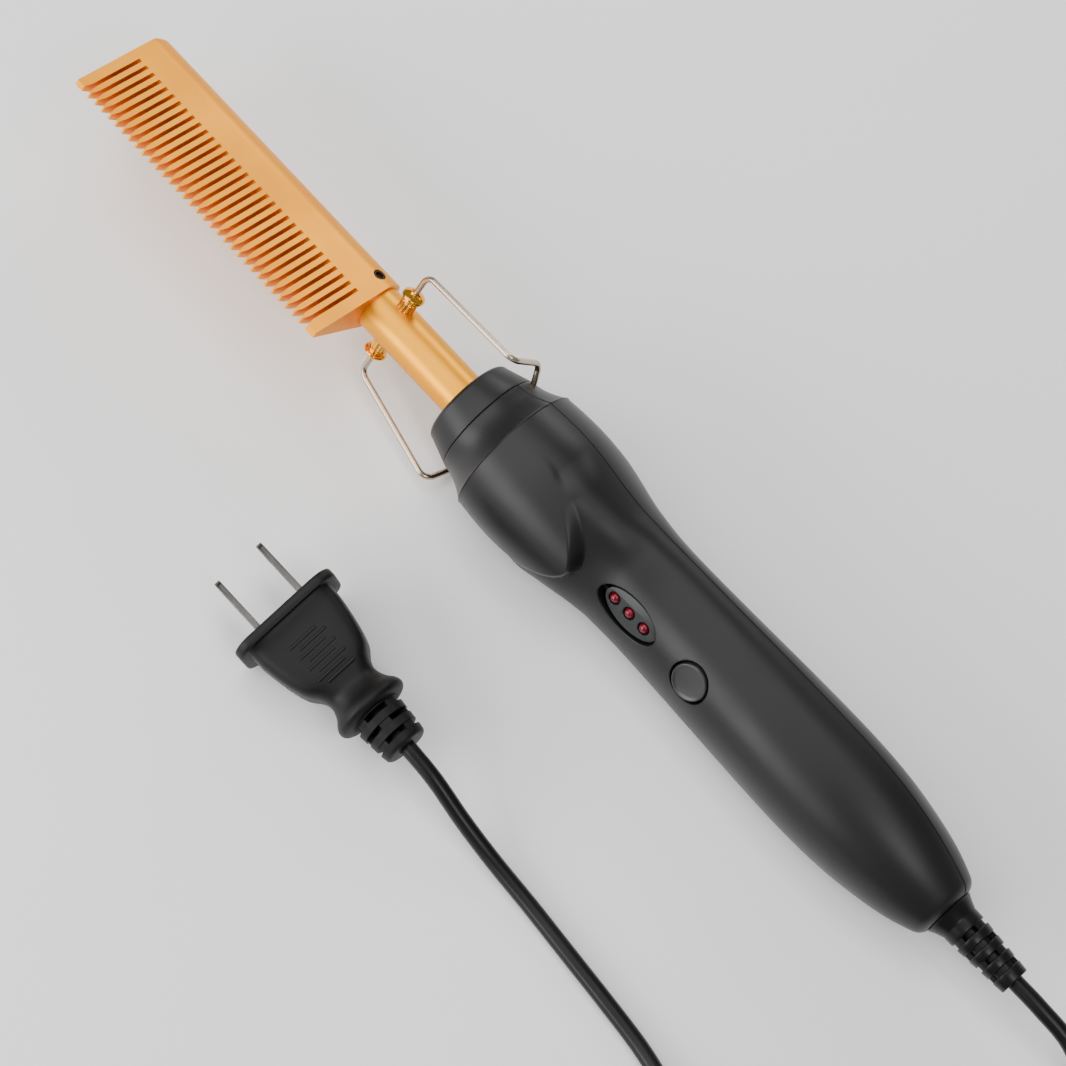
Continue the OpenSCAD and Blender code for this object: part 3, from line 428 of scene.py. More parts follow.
def tube(path, diameter, sides=16, start_side=(0, 0, 1)):
    """Points and faces of a round tube that follows a path."""
    side = Vector(start_side)
    rings = []
    for i, p in enumerate(path):
        ahead = (path[min(i + 1, len(path) - 1)] - path[max(i - 1, 0)]).normalized()
        side = (side - side.dot(ahead) * ahead).normalized()
        other = ahead.cross(side)
        rings.append([p + diameter / 2 * (cos(a) * side + sin(a) * other) for a in turns(sides)])
    return loft(rings)


# ---- node groups and materials ----


def build_tree(kind, name, inputs, outputs, nodes, links):
    """A node group, made once, from its sockets, nodes and links.

    A socket is (label, type) or (label, type, default). A node's short name stands for its type, or
    for its type and settings, where a lower-case key is a property and any other key an input. A link
    is "node.socket > node.socket", with in and out for the group's own ends.
    """
    if name in bpy.data.node_groups:
        return bpy.data.node_groups[name]
    tree = bpy.data.node_groups.new(name, kind)
    for way, sockets in (("INPUT", inputs), ("OUTPUT", outputs)):
        for label, socket_type, *default in sockets:
            socket = tree.interface.new_socket(name=label, in_out=way,
                                               socket_type="NodeSocket" + socket_type)
            if default:
                socket.default_value = default[0]
    made = {"in": tree.nodes.new("NodeGroupInput"), "out": tree.nodes.new("NodeGroupOutput")}
    for short, node_type in nodes.items():
        node_type, settings = node_type if isinstance(node_type, tuple) else (node_type, {})
        made[short] = tree.nodes.new(node_type)
        for key, value in settings.items():
            if isinstance(key, str) and key.islower():
                setattr(made[short], key, value)
            else:
                made[short].inputs[key].default_value = value
    for link in links:
        (start, output), (end, entry) = (side.split(".") for side in link.split(" > "))
        tree.links.new(made[start].outputs[socket_key(output)], made[end].inputs[socket_key(entry)])
    return tree


def socket_key(label):
    """A socket's label, or its number where it is given by number."""
    return int(label) if label.isdigit() else label


def run_tree(piece, tree, **values):
    """Runs a node tree on a piece with values for its inputs, and makes the result plain mesh."""
    step = piece.modifiers.new(tree.name, "NODES")
    step.node_group = tree
    sockets = {item.name: item.identifier for item in tree.interface.items_tree if item.in_out == "INPUT"}
    for label, value in values.items():
        step[sockets[label]] = value
    settle(piece)


# The nodes that every repeating tree has
REPEATING = {
    "source": "GeometryNodeObjectInfo", "copies": "GeometryNodeInstanceOnPoints",
    "whole": "GeometryNodeJoinGeometry", "real": "GeometryNodeRealizeInstances",
    "paint": "GeometryNodeSetMaterial",
}
GLOSS_SPAN = ("ShaderNodeMapRange", {"From Min": 0.3, "From Max": 0.7})


def moulded_grain():
    """Fine grain of a moulded or blasted surface: a height and a slow change of gloss."""
    return build_tree(
        "ShaderNodeTree", "Moulded grain",
        [("Place", "Vector"), ("Grain size", "Float", 4000.0), ("Gloss low", "Float", 0.4),
         ("Gloss high", "Float", 0.5)],
        [("Height", "Float"), ("Roughness", "Float")],
        {"fine": ("ShaderNodeTexNoise", {"Detail": 3.0}),
         "slow": ("ShaderNodeTexNoise", {"Scale": 55.0, "Detail": 3.0}), "span": GLOSS_SPAN},
        ["in.Place > fine.Vector", "in.Grain size > fine.Scale", "in.Place > slow.Vector",
         "slow.Fac > span.Value", "in.Gloss low > span.To Min", "in.Gloss high > span.To Max",
         "fine.Fac > out.Height", "span.Result > out.Roughness"])


def shade_drift():
    """A slow drift between two colours: close, as in a coating or a plastic batch, or far apart on the
    blades, where the lighter patches are painted highlights.
    """
    return build_tree(
        "ShaderNodeTree", "Shade drift",
        [("Place", "Vector"), ("Patch size", "Float", 40.0), ("Colour", "Color", (0.5, 0.5, 0.5, 1)),
         ("Other colour", "Color", (0.4, 0.4, 0.4, 1))],
        [("Colour", "Color")],
        {"patch": ("ShaderNodeTexNoise", {"Detail": 4.0}), "mix": ("ShaderNodeMix", {"data_type": "RGBA"})},
        ["in.Place > patch.Vector", "in.Patch size > patch.Scale", "patch.Fac > mix.Factor",
         "in.Colour > mix.A", "in.Other colour > mix.B", "mix.Result > out.Colour"])


def drawn_lines():
    """Fine lines along one direction, as drawing or brushing leaves on metal."""
    return build_tree(
        "ShaderNodeTree", "Drawn lines",
        [("Place", "Vector"), ("Stretch", "Vector", (60.0, 2500.0, 2500.0)), ("Gloss low", "Float", 0.2),
         ("Gloss high", "Float", 0.35)],
        [("Height", "Float"), ("Roughness", "Float")],
        {"scale": ("ShaderNodeVectorMath", {"operation": "MULTIPLY"}),
         "lines": ("ShaderNodeTexNoise", {"Scale": 1.0, "Detail": 4.0}), "span": GLOSS_SPAN},
        ["in.Place > scale.0", "in.Stretch > scale.1", "scale.0 > lines.Vector", "lines.Fac > span.Value",
         "in.Gloss low > span.To Min", "in.Gloss high > span.To Max", "lines.Fac > out.Height",
         "span.Result > out.Roughness"])


def rgba(value, factor=1.0):
    """A colour made lighter or darker, with alpha."""
    return tuple(min(1.0, c * factor) for c in value) + (1.0,)


def make_finish(name, value, low, high, metallic=0.0, size=4000.0, stretch=None, drift=0.85, bump=0.1,
                depth=0.02, patch=40.0, specular=0.5, coat=0.0):
    """A finish with moulded grain, or with lines where it has a stretch, and a slight drift of shade."""
    material = bpy.data.materials.get(name) or bpy.data.materials.new(name)
    material.use_nodes = True
    nodes, link = material.node_tree.nodes, material.node_tree.links.new
    nodes.clear()
    shader = nodes.new("ShaderNodeBsdfPrincipled")
    link(shader.outputs["BSDF"], nodes.new("ShaderNodeOutputMaterial").inputs["Surface"])
    for label, amount in (("Metallic", metallic), ("Specular IOR Level", specular), ("Coat Weight", coat)):
        shader.inputs[label].default_value = amount
    place = nodes.new("ShaderNodeTexCoord").outputs["Object"]

    def group(tree, values):
        node = nodes.new("ShaderNodeGroup")
        node.node_tree = tree
        link(place, node.inputs["Place"])
        for label, amount in values.items():
            node.inputs[label].default_value = amount
        return node.outputs

    gloss = {"Gloss low": low, "Gloss high": high}
    if stretch:
        relief = group(drawn_lines(), {"Stretch": stretch, **gloss})
    else:
        relief = group(moulded_grain(), {"Grain size": size, **gloss})
    tone = group(shade_drift(), {"Patch size": patch, "Colour": rgba(value),
                                 "Other colour": rgba(value, drift)})
    link(tone["Colour"], shader.inputs["Base Color"])
    link(relief["Roughness"], shader.inputs["Roughness"])
    dents = nodes.new("ShaderNodeBump")
    dents.inputs["Strength"].default_value = bump
    dents.inputs["Distance"].default_value = depth * MM
    link(relief["Height"], dents.inputs["Height"])
    link(dents.outputs["Normal"], shader.inputs["Normal"])
    return material


# The finish of each slot, with a colour of the sidebar by its name or a colour of its own
FINISHES = {
    # satin peach-gold coating
    "head_gold": dict(value="head", low=0.42, high=0.50, metallic=1.0, size=5000.0, drift=0.96, bump=0.25,
                      depth=0.01),
    # smoother gold coating
    "barrel_gold": dict(value="barrel", low=0.38, high=0.44, metallic=1.0, size=5000.0, drift=0.95,
                        bump=0.2, depth=0.008),
    # polished turned brass
    "post_brass": dict(value="brass", low=0.08, high=0.16, metallic=1.0, size=2500.0, depth=0.01,
                       patch=300.0),
    "wire_steel": dict(value="steel", low=0.22, high=0.27, metallic=1.0, stretch=(120.0, 1800.0, 1800.0),
                       bump=0.05, depth=0.01, patch=90.0),
    # satin moulded plastic
    "handle_black": dict(value="plastic", low=0.36, high=0.44, size=5200.0, drift=0.8, bump=0.12,
                         specular=0.36),
    "window_dark": dict(value="panel", low=0.28, high=0.36, size=2600.0, drift=0.8, specular=0.3),
    # dark moulded lens under a thin clear coat
    "light_red": dict(value="lens", low=0.06, high=0.12, size=1500.0, drift=0.7, bump=0.05, patch=500.0,
                      specular=0.35, coat=0.25),
    "button_black": dict(value=(0.020, 0.020, 0.021), low=0.30, high=0.38, size=3500.0),
    "cord_black": dict(value="rubber", low=0.30, high=0.38, size=3000.0, drift=0.75, bump=0.15,
                       depth=0.03, specular=0.3),
    "tie_black": dict(value=(0.03, 0.03, 0.03), low=0.55, high=0.7, size=1800.0, drift=0.7, bump=0.4,
                      depth=0.05),
    "plug_black": dict(value="plug", low=0.42, high=0.52, size=2600.0, drift=0.8, bump=0.25, depth=0.03,
                       specular=0.24),
    # plated blades with painted shade: a base far darker than nickel's own, and a six-fold drift that
    # paints brighter blotches as painted highlight streaks
    "blade_nickel": dict(value="nickel", low=0.15, high=0.35, metallic=1.0,
                         stretch=(250.0, 1400.0, 1400.0), drift=6.0, bump=0.3, depth=0.01, patch=90.0),
    "black_steel": dict(value=(0.05, 0.045, 0.04), low=0.35, high=0.5, metallic=1.0, size=2500.0),
}


def slot_finish(slot):
    """The material of a slot, in the sidebar's colours."""
    values = dict(FINISHES[slot])
    if isinstance(values["value"], str):
        values["value"] = getattr(bpy.context.scene.hot_comb_colours, values["value"])
    return make_finish(slot.replace("_", " ").capitalize(), **values)


# ---- the outline of the handle ----


def smooth(s):
    """A smooth step from 0 to 1."""
    s = min(1.0, max(0.0, s))
    return s * s * (3 - 2 * s)


def blend(x, x0, x1, a, b):
    """A smooth change from a at x0 to b at x1."""
    return a + (b - a) * smooth((x - x0) / (x1 - x0))


def oval(a, b, fullness, t):
    """A point of an oval with half width a and half height b; a fullness over 2 squares it off."""
    c, q = cos(t), sin(t)
    return a * copysign(abs(c) ** (2 / fullness), c), b * copysign(abs(q) ** (2 / fullness), q)


class HandleShape:
    """The handle's sections: an oval with its own half width, back, front and fullness at each x."""

    waist_at = 50.0
    grip_from = 66.0
    back_from, back_to = 34.0, 60.0
    front_from, front_to = 22.0, 57.0
    crest_drop, crest_run = 0.9, 18.0
    crest_power = 1.55
    neck_power, tail_power = 1.8, 2.6

    def __init__(self, s):
        self.s = s
        self.skin_from = s.nose_len + 0.12
        self.neck_end = s.nose_len + s.neck_len
        self.belly_at = self.neck_end + 10.7
        self.swell_at = s.handle_len - 37
        self.side_swell_at = s.handle_len - 47

    def round_r(self, x):
        """The radius of the round neck and the start of the belly."""
        s = self.s
        if x < self.neck_end:
            rise = max(0.0, (x - s.nose_len) / s.neck_len) ** self.neck_power
            return s.neck_d / 2 + (s.step_d - s.neck_d) / 2 * rise
        turn = min(1.0, (x - self.neck_end) / (self.belly_at - self.neck_end))
        return s.step_d / 2 + (s.belly_d - s.step_d) / 2 * sin(pi / 2 * turn)

    def tail_fall(self, x, top, x0):
        """The fall from a swell at x0 to the tail, with the rounding of its rim."""
        s = self.s
        run = max(0.0, (x - x0) / (s.handle_len - x0))
        rim = max(0.0, (x - (s.handle_len - s.tail_round)) / s.tail_round)
        drop = s.tail_round * (1 - sqrt(max(0.0, 1 - rim * rim)))
        return top - (top - s.tail_d / 2) * run ** self.tail_power - drop

    def side(self, x):
        """Half the width."""
        s = self.s
        if x < self.belly_at:
            return self.round_r(x)
        if x < self.waist_at:
            return blend(x, self.belly_at, self.waist_at, s.belly_d / 2, s.waist_w / 2)
        if x < self.side_swell_at:
            return blend(x, self.waist_at, self.side_swell_at, s.waist_w / 2, s.swell_w / 2)
        return self.tail_fall(x, s.swell_w / 2, self.side_swell_at)

    def grip(self, x):
        """Half the thickness of the grip, front and back."""
        s = self.s
        if x < self.swell_at:
            return blend(x, self.grip_from, self.swell_at, s.waist_t / 2, s.swell_t / 2)
        return self.tail_fall(x, s.swell_t / 2, self.swell_at)

    def back(self, x):
        """The height of the back."""
        if x < self.belly_at:
            return self.round_r(x)
        if x < self.back_to:
            return blend(x, self.back_from, self.back_to, self.s.belly_d / 2, self.s.waist_t / 2)
        return self.grip(x)

    def front(self, x):
        """The height of the front without its crest."""
        if x < self.front_from:
            return self.round_r(x)
        if x < self.front_to:
            return blend(x, self.front_from, self.front_to, self.round_r(x), self.s.waist_t / 2)
        return self.grip(x)

    def crest(self, x):
        """The height of the crest on the front."""
        if x < self.belly_at:
            return self.round_r(x)
        return self.s.belly_d / 2 - self.crest_drop * ((x - self.belly_at) / self.crest_run) ** 2

    def lean(self, x):
        """The fullness of the back: a little slimmer than an oval along the grip."""
        return 2 - 0.15 * smooth((x - 52) / 14) + 0.15 * smooth((x - self.s.handle_len + 19) / 14)

    def fullness(self, x):
        """The fullness of the front: squarer behind the belly."""
        return self.lean(x) + 0.5 * smooth((x - 30) / 8) * (1 - smooth((x - 44) / 12))

    def on_crest(self, x, y):
        """How far a place on the front stands inside the crest's tongue: 0 outside, 1 on top."""
        s = self.s
        ahead = max(0.0, x - self.belly_at)
        along, across = ahead / (s.crest_end - self.belly_at), abs(y) / (s.crest_w / 2)
        reach = (along ** self.crest_power + across ** self.crest_power) ** (1 / self.crest_power)
        if reach < 0.001:
            return 1.0
        depth = sqrt(ahead * ahead + y * y) * (1 / reach - 1)
        return sin(pi / 2 * min(1.0, depth / s.crest_slope)) if depth > 0 else 0.0

    def front_point(self, x, t, inset=0.0):
        """A point of the front, t going from the +Y side over the crown to the -Y side."""
        low = oval(self.side(x) - inset, self.front(x) - inset, self.fullness(x), t)
        high = oval(self.side(x) - inset, self.crest(x) - inset, 2, t)
        s = self.on_crest(x, high[0])
        return low[0] + (high[0] - low[0]) * s, low[1] + (high[1] - low[1]) * s

    def back_point(self, x, t, inset=0.0):
        """A point of the back, mirrored to the side of the front."""
        return oval(self.side(x) - inset, self.back(x) - inset, self.lean(x), t)


# ---- pieces ----

GRUB_SETBACK = 3.9


class HOTCOMB_OT_comb_head(bpy.types.Operator):
    """Make the comb head: a slice with one slot and one tooth, repeated and closed by two lands"""

    bl_idname = "hotcomb.comb_head"
    bl_label = "Comb Head"

    @staticmethod
    def section(s, height):
        """Outline of the head below a height, from its +Y flank round the spine to its -Y flank."""
        flank_r = s.spine_d / 2
        reach = sqrt((s.edge_t / 2) ** 2 + s.tooth_h ** 2)
        touch = atan2(s.edge_t / 2, s.tooth_h) + acos(flank_r / reach)
        slope = (Vector((flank_r * sin(touch), flank_r * cos(touch))), Vector((s.edge_t / 2, s.tooth_h)))
        share = (height - slope[0].y) / (slope[1].y - slope[0].y)
        top = slope[0].lerp(slope[1], share)
        steps = 48
        angles = [touch + (2 * pi - 2 * touch) * i / steps for i in range(steps + 1)]
        arc = [(flank_r * sin(a), flank_r * cos(a)) for a in angles]
        near = slope[0].lerp(slope[1], 0.03)
        return [(top.x, top.y), (near.x, near.y)] + arc + [(-near.x, near.y), (-top.x, top.y)]

    def slice_points(self, s, x0, slot, x1, end_tip=None, start_tip=None, corner=0.0):
        """A slot from x0 to slot and a tooth from slot to x1 over the spine beneath them.

        A corner rounds the back of the spine off towards x0.
        """
        ring = self.section(s, s.slot_root)
        count = len(ring)
        points, faces = [], []
        stations = [(x0, 0.0), (slot, 0.0), (x1, 0.0)] if slot > x0 else [(x0, 0.0), (x1, 0.0)]
        if corner:
            stations = [(x0 + corner * (1 - sin(a)), corner * (1 - cos(a))) for a in reversed(quarter(8))]
            stations.append((x1, 0.0))
        for x, inset in stations:
            for y, z in ring:
                away = smooth((-z / (s.spine_d / 2) + 0.1) / 0.6)
                shrink = 1 - inset * away / (s.spine_d / 2)
                points.append((x, y * shrink, z * shrink))
        for i in range(len(stations) - 1):
            for j in range(count - 1):
                a = i * count + j
                faces.append((a, a + 1, a + count + 1, a + count))
        if slot > x0:
            faces.append((0, count, 2 * count - 1, count - 1))
        shoulder = s.tooth_h - s.tooth_taper
        lean = (x1 - slot - s.tooth_tip_w) / 2
        left = slot + (lean if start_tip is None else start_tip)
        right = x1 - (lean if end_tip is None else end_tip)
        last = (len(stations) - 1) * count
        first = last - count if not corner else 0
        ring_ids = [first, last, last + count - 1, first + count - 1]
        if corner:
            # the tooth stands on all the stations of the rounded end
            ring_ids = ([i * count for i in range(len(stations))]
                        + [i * count + count - 1 for i in reversed(range(len(stations)))])
        levels = [ring_ids]
        for height, xa, xb in ((shoulder, slot, x1), (s.tooth_h, left, right)):
            w = self.section(s, height)[0][0]
            start = len(points)
            points += [(xa, w, height), (xb, w, height), (xb, -w, height), (xa, -w, height)]
            levels.append([start, start + 1, start + 2, start + 3])
        if corner:
            side = len(stations)
            top = levels[1]
            faces += [tuple(ring_ids[:side]) + (top[1], top[0]), tuple(ring_ids[side:]) + (top[3], top[2]),
                      (ring_ids[side - 1], ring_ids[side], top[2], top[1]),
                      (ring_ids[-1], ring_ids[0], top[0], top[3])]
            levels = levels[1:]
        for low, high in zip(levels, levels[1:]):
            for j in range(4):
                k = (j + 1) % 4
                faces.append((low[j], low[k], high[k], high[j]))
        faces.append(tuple(levels[-1]))
        return points, faces

    def execute(self, context):
        s = sizes()
        rear = -s.barrel_show
        tip = rear - s.head_len
        pitch = (s.head_len - s.far_land - s.near_land - s.slot_w) / (s.slot_count - 1)
        taper = (pitch - s.slot_w - s.tooth_tip_w) / 2
        one = make_piece("Tooth slice", *self.slice_points(s, 0, s.slot_w, pitch))
        far = self.slice_points(s, tip, tip, tip + s.far_land, taper, 0, s.spine_round)
        last = rear - s.near_land - s.slot_w
        near = self.slice_points(s, last, last + s.slot_w, rear, start_tip=taper, end_tip=0)
        shift = len(far[0])
        head = make_piece("Head ends", far[0] + near[0],
                          far[1] + [tuple(i + shift for i in face) for face in near[1]])
        self.close_end(head, tip)
        self.close_end(head, rear)
        self.repeat_slices(head, one, s.slot_count - 1, tip + s.far_land, pitch)
        bore_r = s.barrel_d / 2 + 0.09
        screw_hole_r = 1.55
        cut(head, "Bore", *turned(bar(bore_r, rear - s.barrel_in_head - 0.3, rear + 1), 64))
        cut(head, "Screw hole", *upright(rod(screw_hole_r, 0, s.spine_d), 32),
            place=Matrix.Scale(MM, 4) @ at(rear - GRUB_SETBACK, turn=-90))
        shade(head.data, 30)
        lay(head, laid())
        head.name = "pressing_head"
        dress(head, COMB, "head_gold", "comb_head")
        return {"FINISHED"}

    @staticmethod
    def close_end(piece, x):
        """Closes the open end at x with one face."""
        work = bmesh.new()
        work.from_mesh(piece.data)
        edges = [e for e in work.edges
                 if e.is_boundary and all(abs(v.co.x / MM - x) < 1e-3 for v in e.verts)]
        bmesh.ops.contextual_create(work, geom=edges)
        work.to_mesh(piece.data)
        work.free()

    @staticmethod
    def repeat_slices(piece, slice_piece, count, start, pitch):
        """Repeats the slice along the head with a node tree and welds it to the two ends."""
        tree = build_tree(
            "GeometryNodeTree", "Comb slices",
            [("Ends", "Geometry"), ("Slice", "Object"), ("Count", "Int"), ("Start", "Float"),
             ("Pitch", "Float"), ("Material", "Material")],
            [("Head", "Geometry")],
            {"line": "GeometryNodeMeshLine", "first": "ShaderNodeCombineXYZ",
             "step": "ShaderNodeCombineXYZ",
             "weld": ("GeometryNodeMergeByDistance", {"Distance": 0.002 * MM}), **REPEATING},
            ["in.Start > first.X", "in.Pitch > step.X", "in.Count > line.Count",
             "first.0 > line.Start Location", "step.0 > line.Offset", "in.Slice > source.Object",
             "line.Mesh > copies.Points", "source.Geometry > copies.Instance",
             "copies.Instances > real.Geometry", "in.Ends > whole.Geometry",
             "real.Geometry > whole.Geometry", "whole.Geometry > weld.Geometry",
             "weld.Geometry > paint.Geometry",
             "in.Material > paint.Material", "paint.Geometry > out.Head"])
        run_tree(piece, tree, Slice=slice_piece, Count=count, Start=start * MM, Pitch=pitch * MM,
                 Material=slot_finish("head_gold"))
        bpy.data.objects.remove(slice_piece)
        tidy_normals(piece)


class HOTCOMB_OT_barrel(bpy.types.Operator):
    """Make the barrel and the grub screw that holds the head on it"""

    bl_idname = "hotcomb.barrel"
    bl_label = "Barrel"

    def execute(self, context):
        s = sizes()
        r, bore = s.barrel_d / 2, s.barrel_d / 2 - s.barrel_wall
        x0, x1 = -s.barrel_show - s.barrel_in_head, s.barrel_grip
        soft = 0.25
        profile = [(x0, bore), (x0, r - soft), (x0 + soft, r), (x1 - soft, r), (x1, r - soft), (x1, bore),
                   (x0, bore)]
        dress(make_piece("barrel", *turned(profile), place=laid()), COMB, "barrel_gold", "barrel_tube")
        tip, top = bore - 0.2, s.spine_d / 2 - 0.15
        profile = [(0, tip), (1.2, tip), (1.5, tip + 0.3), (1.5, top - 0.2), (1.3, top), (0.95, top),
                   (0.95, top - 1.2), (0, top - 1.2)]
        screw = make_piece("grub_screw", *upright(profile, 48),
                           place=laid() @ at(-s.barrel_show - GRUB_SETBACK, turn=-90))
        dress(screw, COMB, "black_steel", "head_set_screw")
        return {"FINISHED"}


class HOTCOMB_OT_guard_posts(bpy.types.Operator):
    """Make the two fluted brass posts with their slotted domes"""

    bl_idname = "hotcomb.guard_posts"
    bl_label = "Guard Posts"

    @staticmethod
    def fluted(core, rib, count, radius):
        """Sets ribs in a ring round the shank with a node tree."""
        tree = build_tree(
            "GeometryNodeTree", "Post flutes",
            [("Core", "Geometry"), ("Rib", "Object"), ("Count", "Int"), ("Radius", "Float"),
             ("Material", "Material")],
            [("Post", "Geometry")],
            {"ring": "GeometryNodeMeshCircle", **REPEATING},
            ["in.Count > ring.Vertices", "in.Radius > ring.Radius", "in.Rib > source.Object",
             "ring.Mesh > copies.Points", "source.Geometry > copies.Instance", "in.Core > whole.Geometry",
             "copies.Instances > whole.Geometry", "whole.Geometry > real.Geometry",
             "real.Geometry > paint.Geometry", "in.Material > paint.Material", "paint.Geometry > out.Post"])
        run_tree(core, tree, Rib=rib, Count=count, Radius=radius * MM, Material=slot_finish("post_brass"))
        bpy.data.objects.remove(rib)

    def execute(self, context):
        s = sizes()
        r = s.barrel_d / 2
        shank_top = r + s.post_shank_h
        dome_top = shank_top + s.post_head_h
        rib_r = 0.78
        core_r = s.post_d / 2 - 0.35
        slot_w, slot_deep = 0.8, 0.75
        head_r = s.post_head_d / 2
        # a small ring, a groove, and a disc with a slotted crown
        dome = [(0, 0), (head_r - 0.9, 0), (head_r - 0.5, 0.45), (head_r - 0.95, 0.85),
                (head_r - 0.15, 1.1), (head_r, 1.45), (head_r - 0.15, 1.85), (head_r - 0.9, 2.3),
                (head_r - 1.9, s.post_head_h - 0.1), (0, s.post_head_h)]
        dome = [(q, shank_top + z) for q, z in dome]
        for name, node, turn in (("upper_guard_post", "guard_post_upper", -90),
                                 ("lower_guard_post", "guard_post_lower", 90)):
            head = make_piece("Dome", *upright(rounded(dome, 0.35)), sharp=60.0)
            cut(head, "Slot", *box_points((-head_r - 1, -slot_w / 2, dome_top - slot_deep),
                                          (head_r + 1, slot_w / 2, dome_top + 1)))
            shade(head.data, 50)
            core = make_piece(name, *upright(rod(core_r, r - 0.5, shank_top + 0.2), 40))
            rib = make_piece("Rib", *upright([(0, r - 0.45), (rib_r, r - 0.45), (rib_r, shank_top - 0.25),
                                              (rib_r - 0.2, shank_top + 0.05), (0, shank_top + 0.05)], 14))
            self.fluted(core, rib, s.flutes, s.post_d / 2 - rib_r + 0.05)
            post = join_pieces(name, [core, head])
            lay(post, laid() @ at(s.post_gap - s.barrel_show, turn=turn))
            dress(post, COMB, "post_brass", node)
        return {"FINISHED"}


class HOTCOMB_OT_guard_wires(bpy.types.Operator):
    """Make the two bent guard wires"""

    bl_idname = "hotcomb.guard_wires"
    bl_label = "Guard Wires"

    def execute(self, context):
        s = sizes()
        seat = s.barrel_d / 2 + s.post_shank_h + 0.4
        post_x = -s.barrel_show + s.post_gap
        foot = Vector((s.nose_len + 1.3, 13.3, -5.4))
        toe = Vector((s.nose_len - 0.6, s.wire_span - 3.3, -5.9))
        inner = foot + 1.8 * (foot - toe).normalized()
        shoulder = (s.nose_len - 2.9, s.wire_span, s.wire_lift)
        corners = [(post_x, seat + 0.1, 0), (post_x, s.wire_rise, 0), shoulder, toe, inner]
        for name, node, side in (("upper_guard_wire", "guard_wire_upper", 1),
                                 ("lower_guard_wire", "guard_wire_lower", -1)):
            path = bent([(x, side * y, z) for x, y, z in corners], s.wire_bend, 12)
            wire = make_piece(name, *tube(path, s.wire_d, 20, (1, 0, 0)), place=laid())
            dress(wire, COMB, "wire_steel", node)
        return {"FINISHED"}


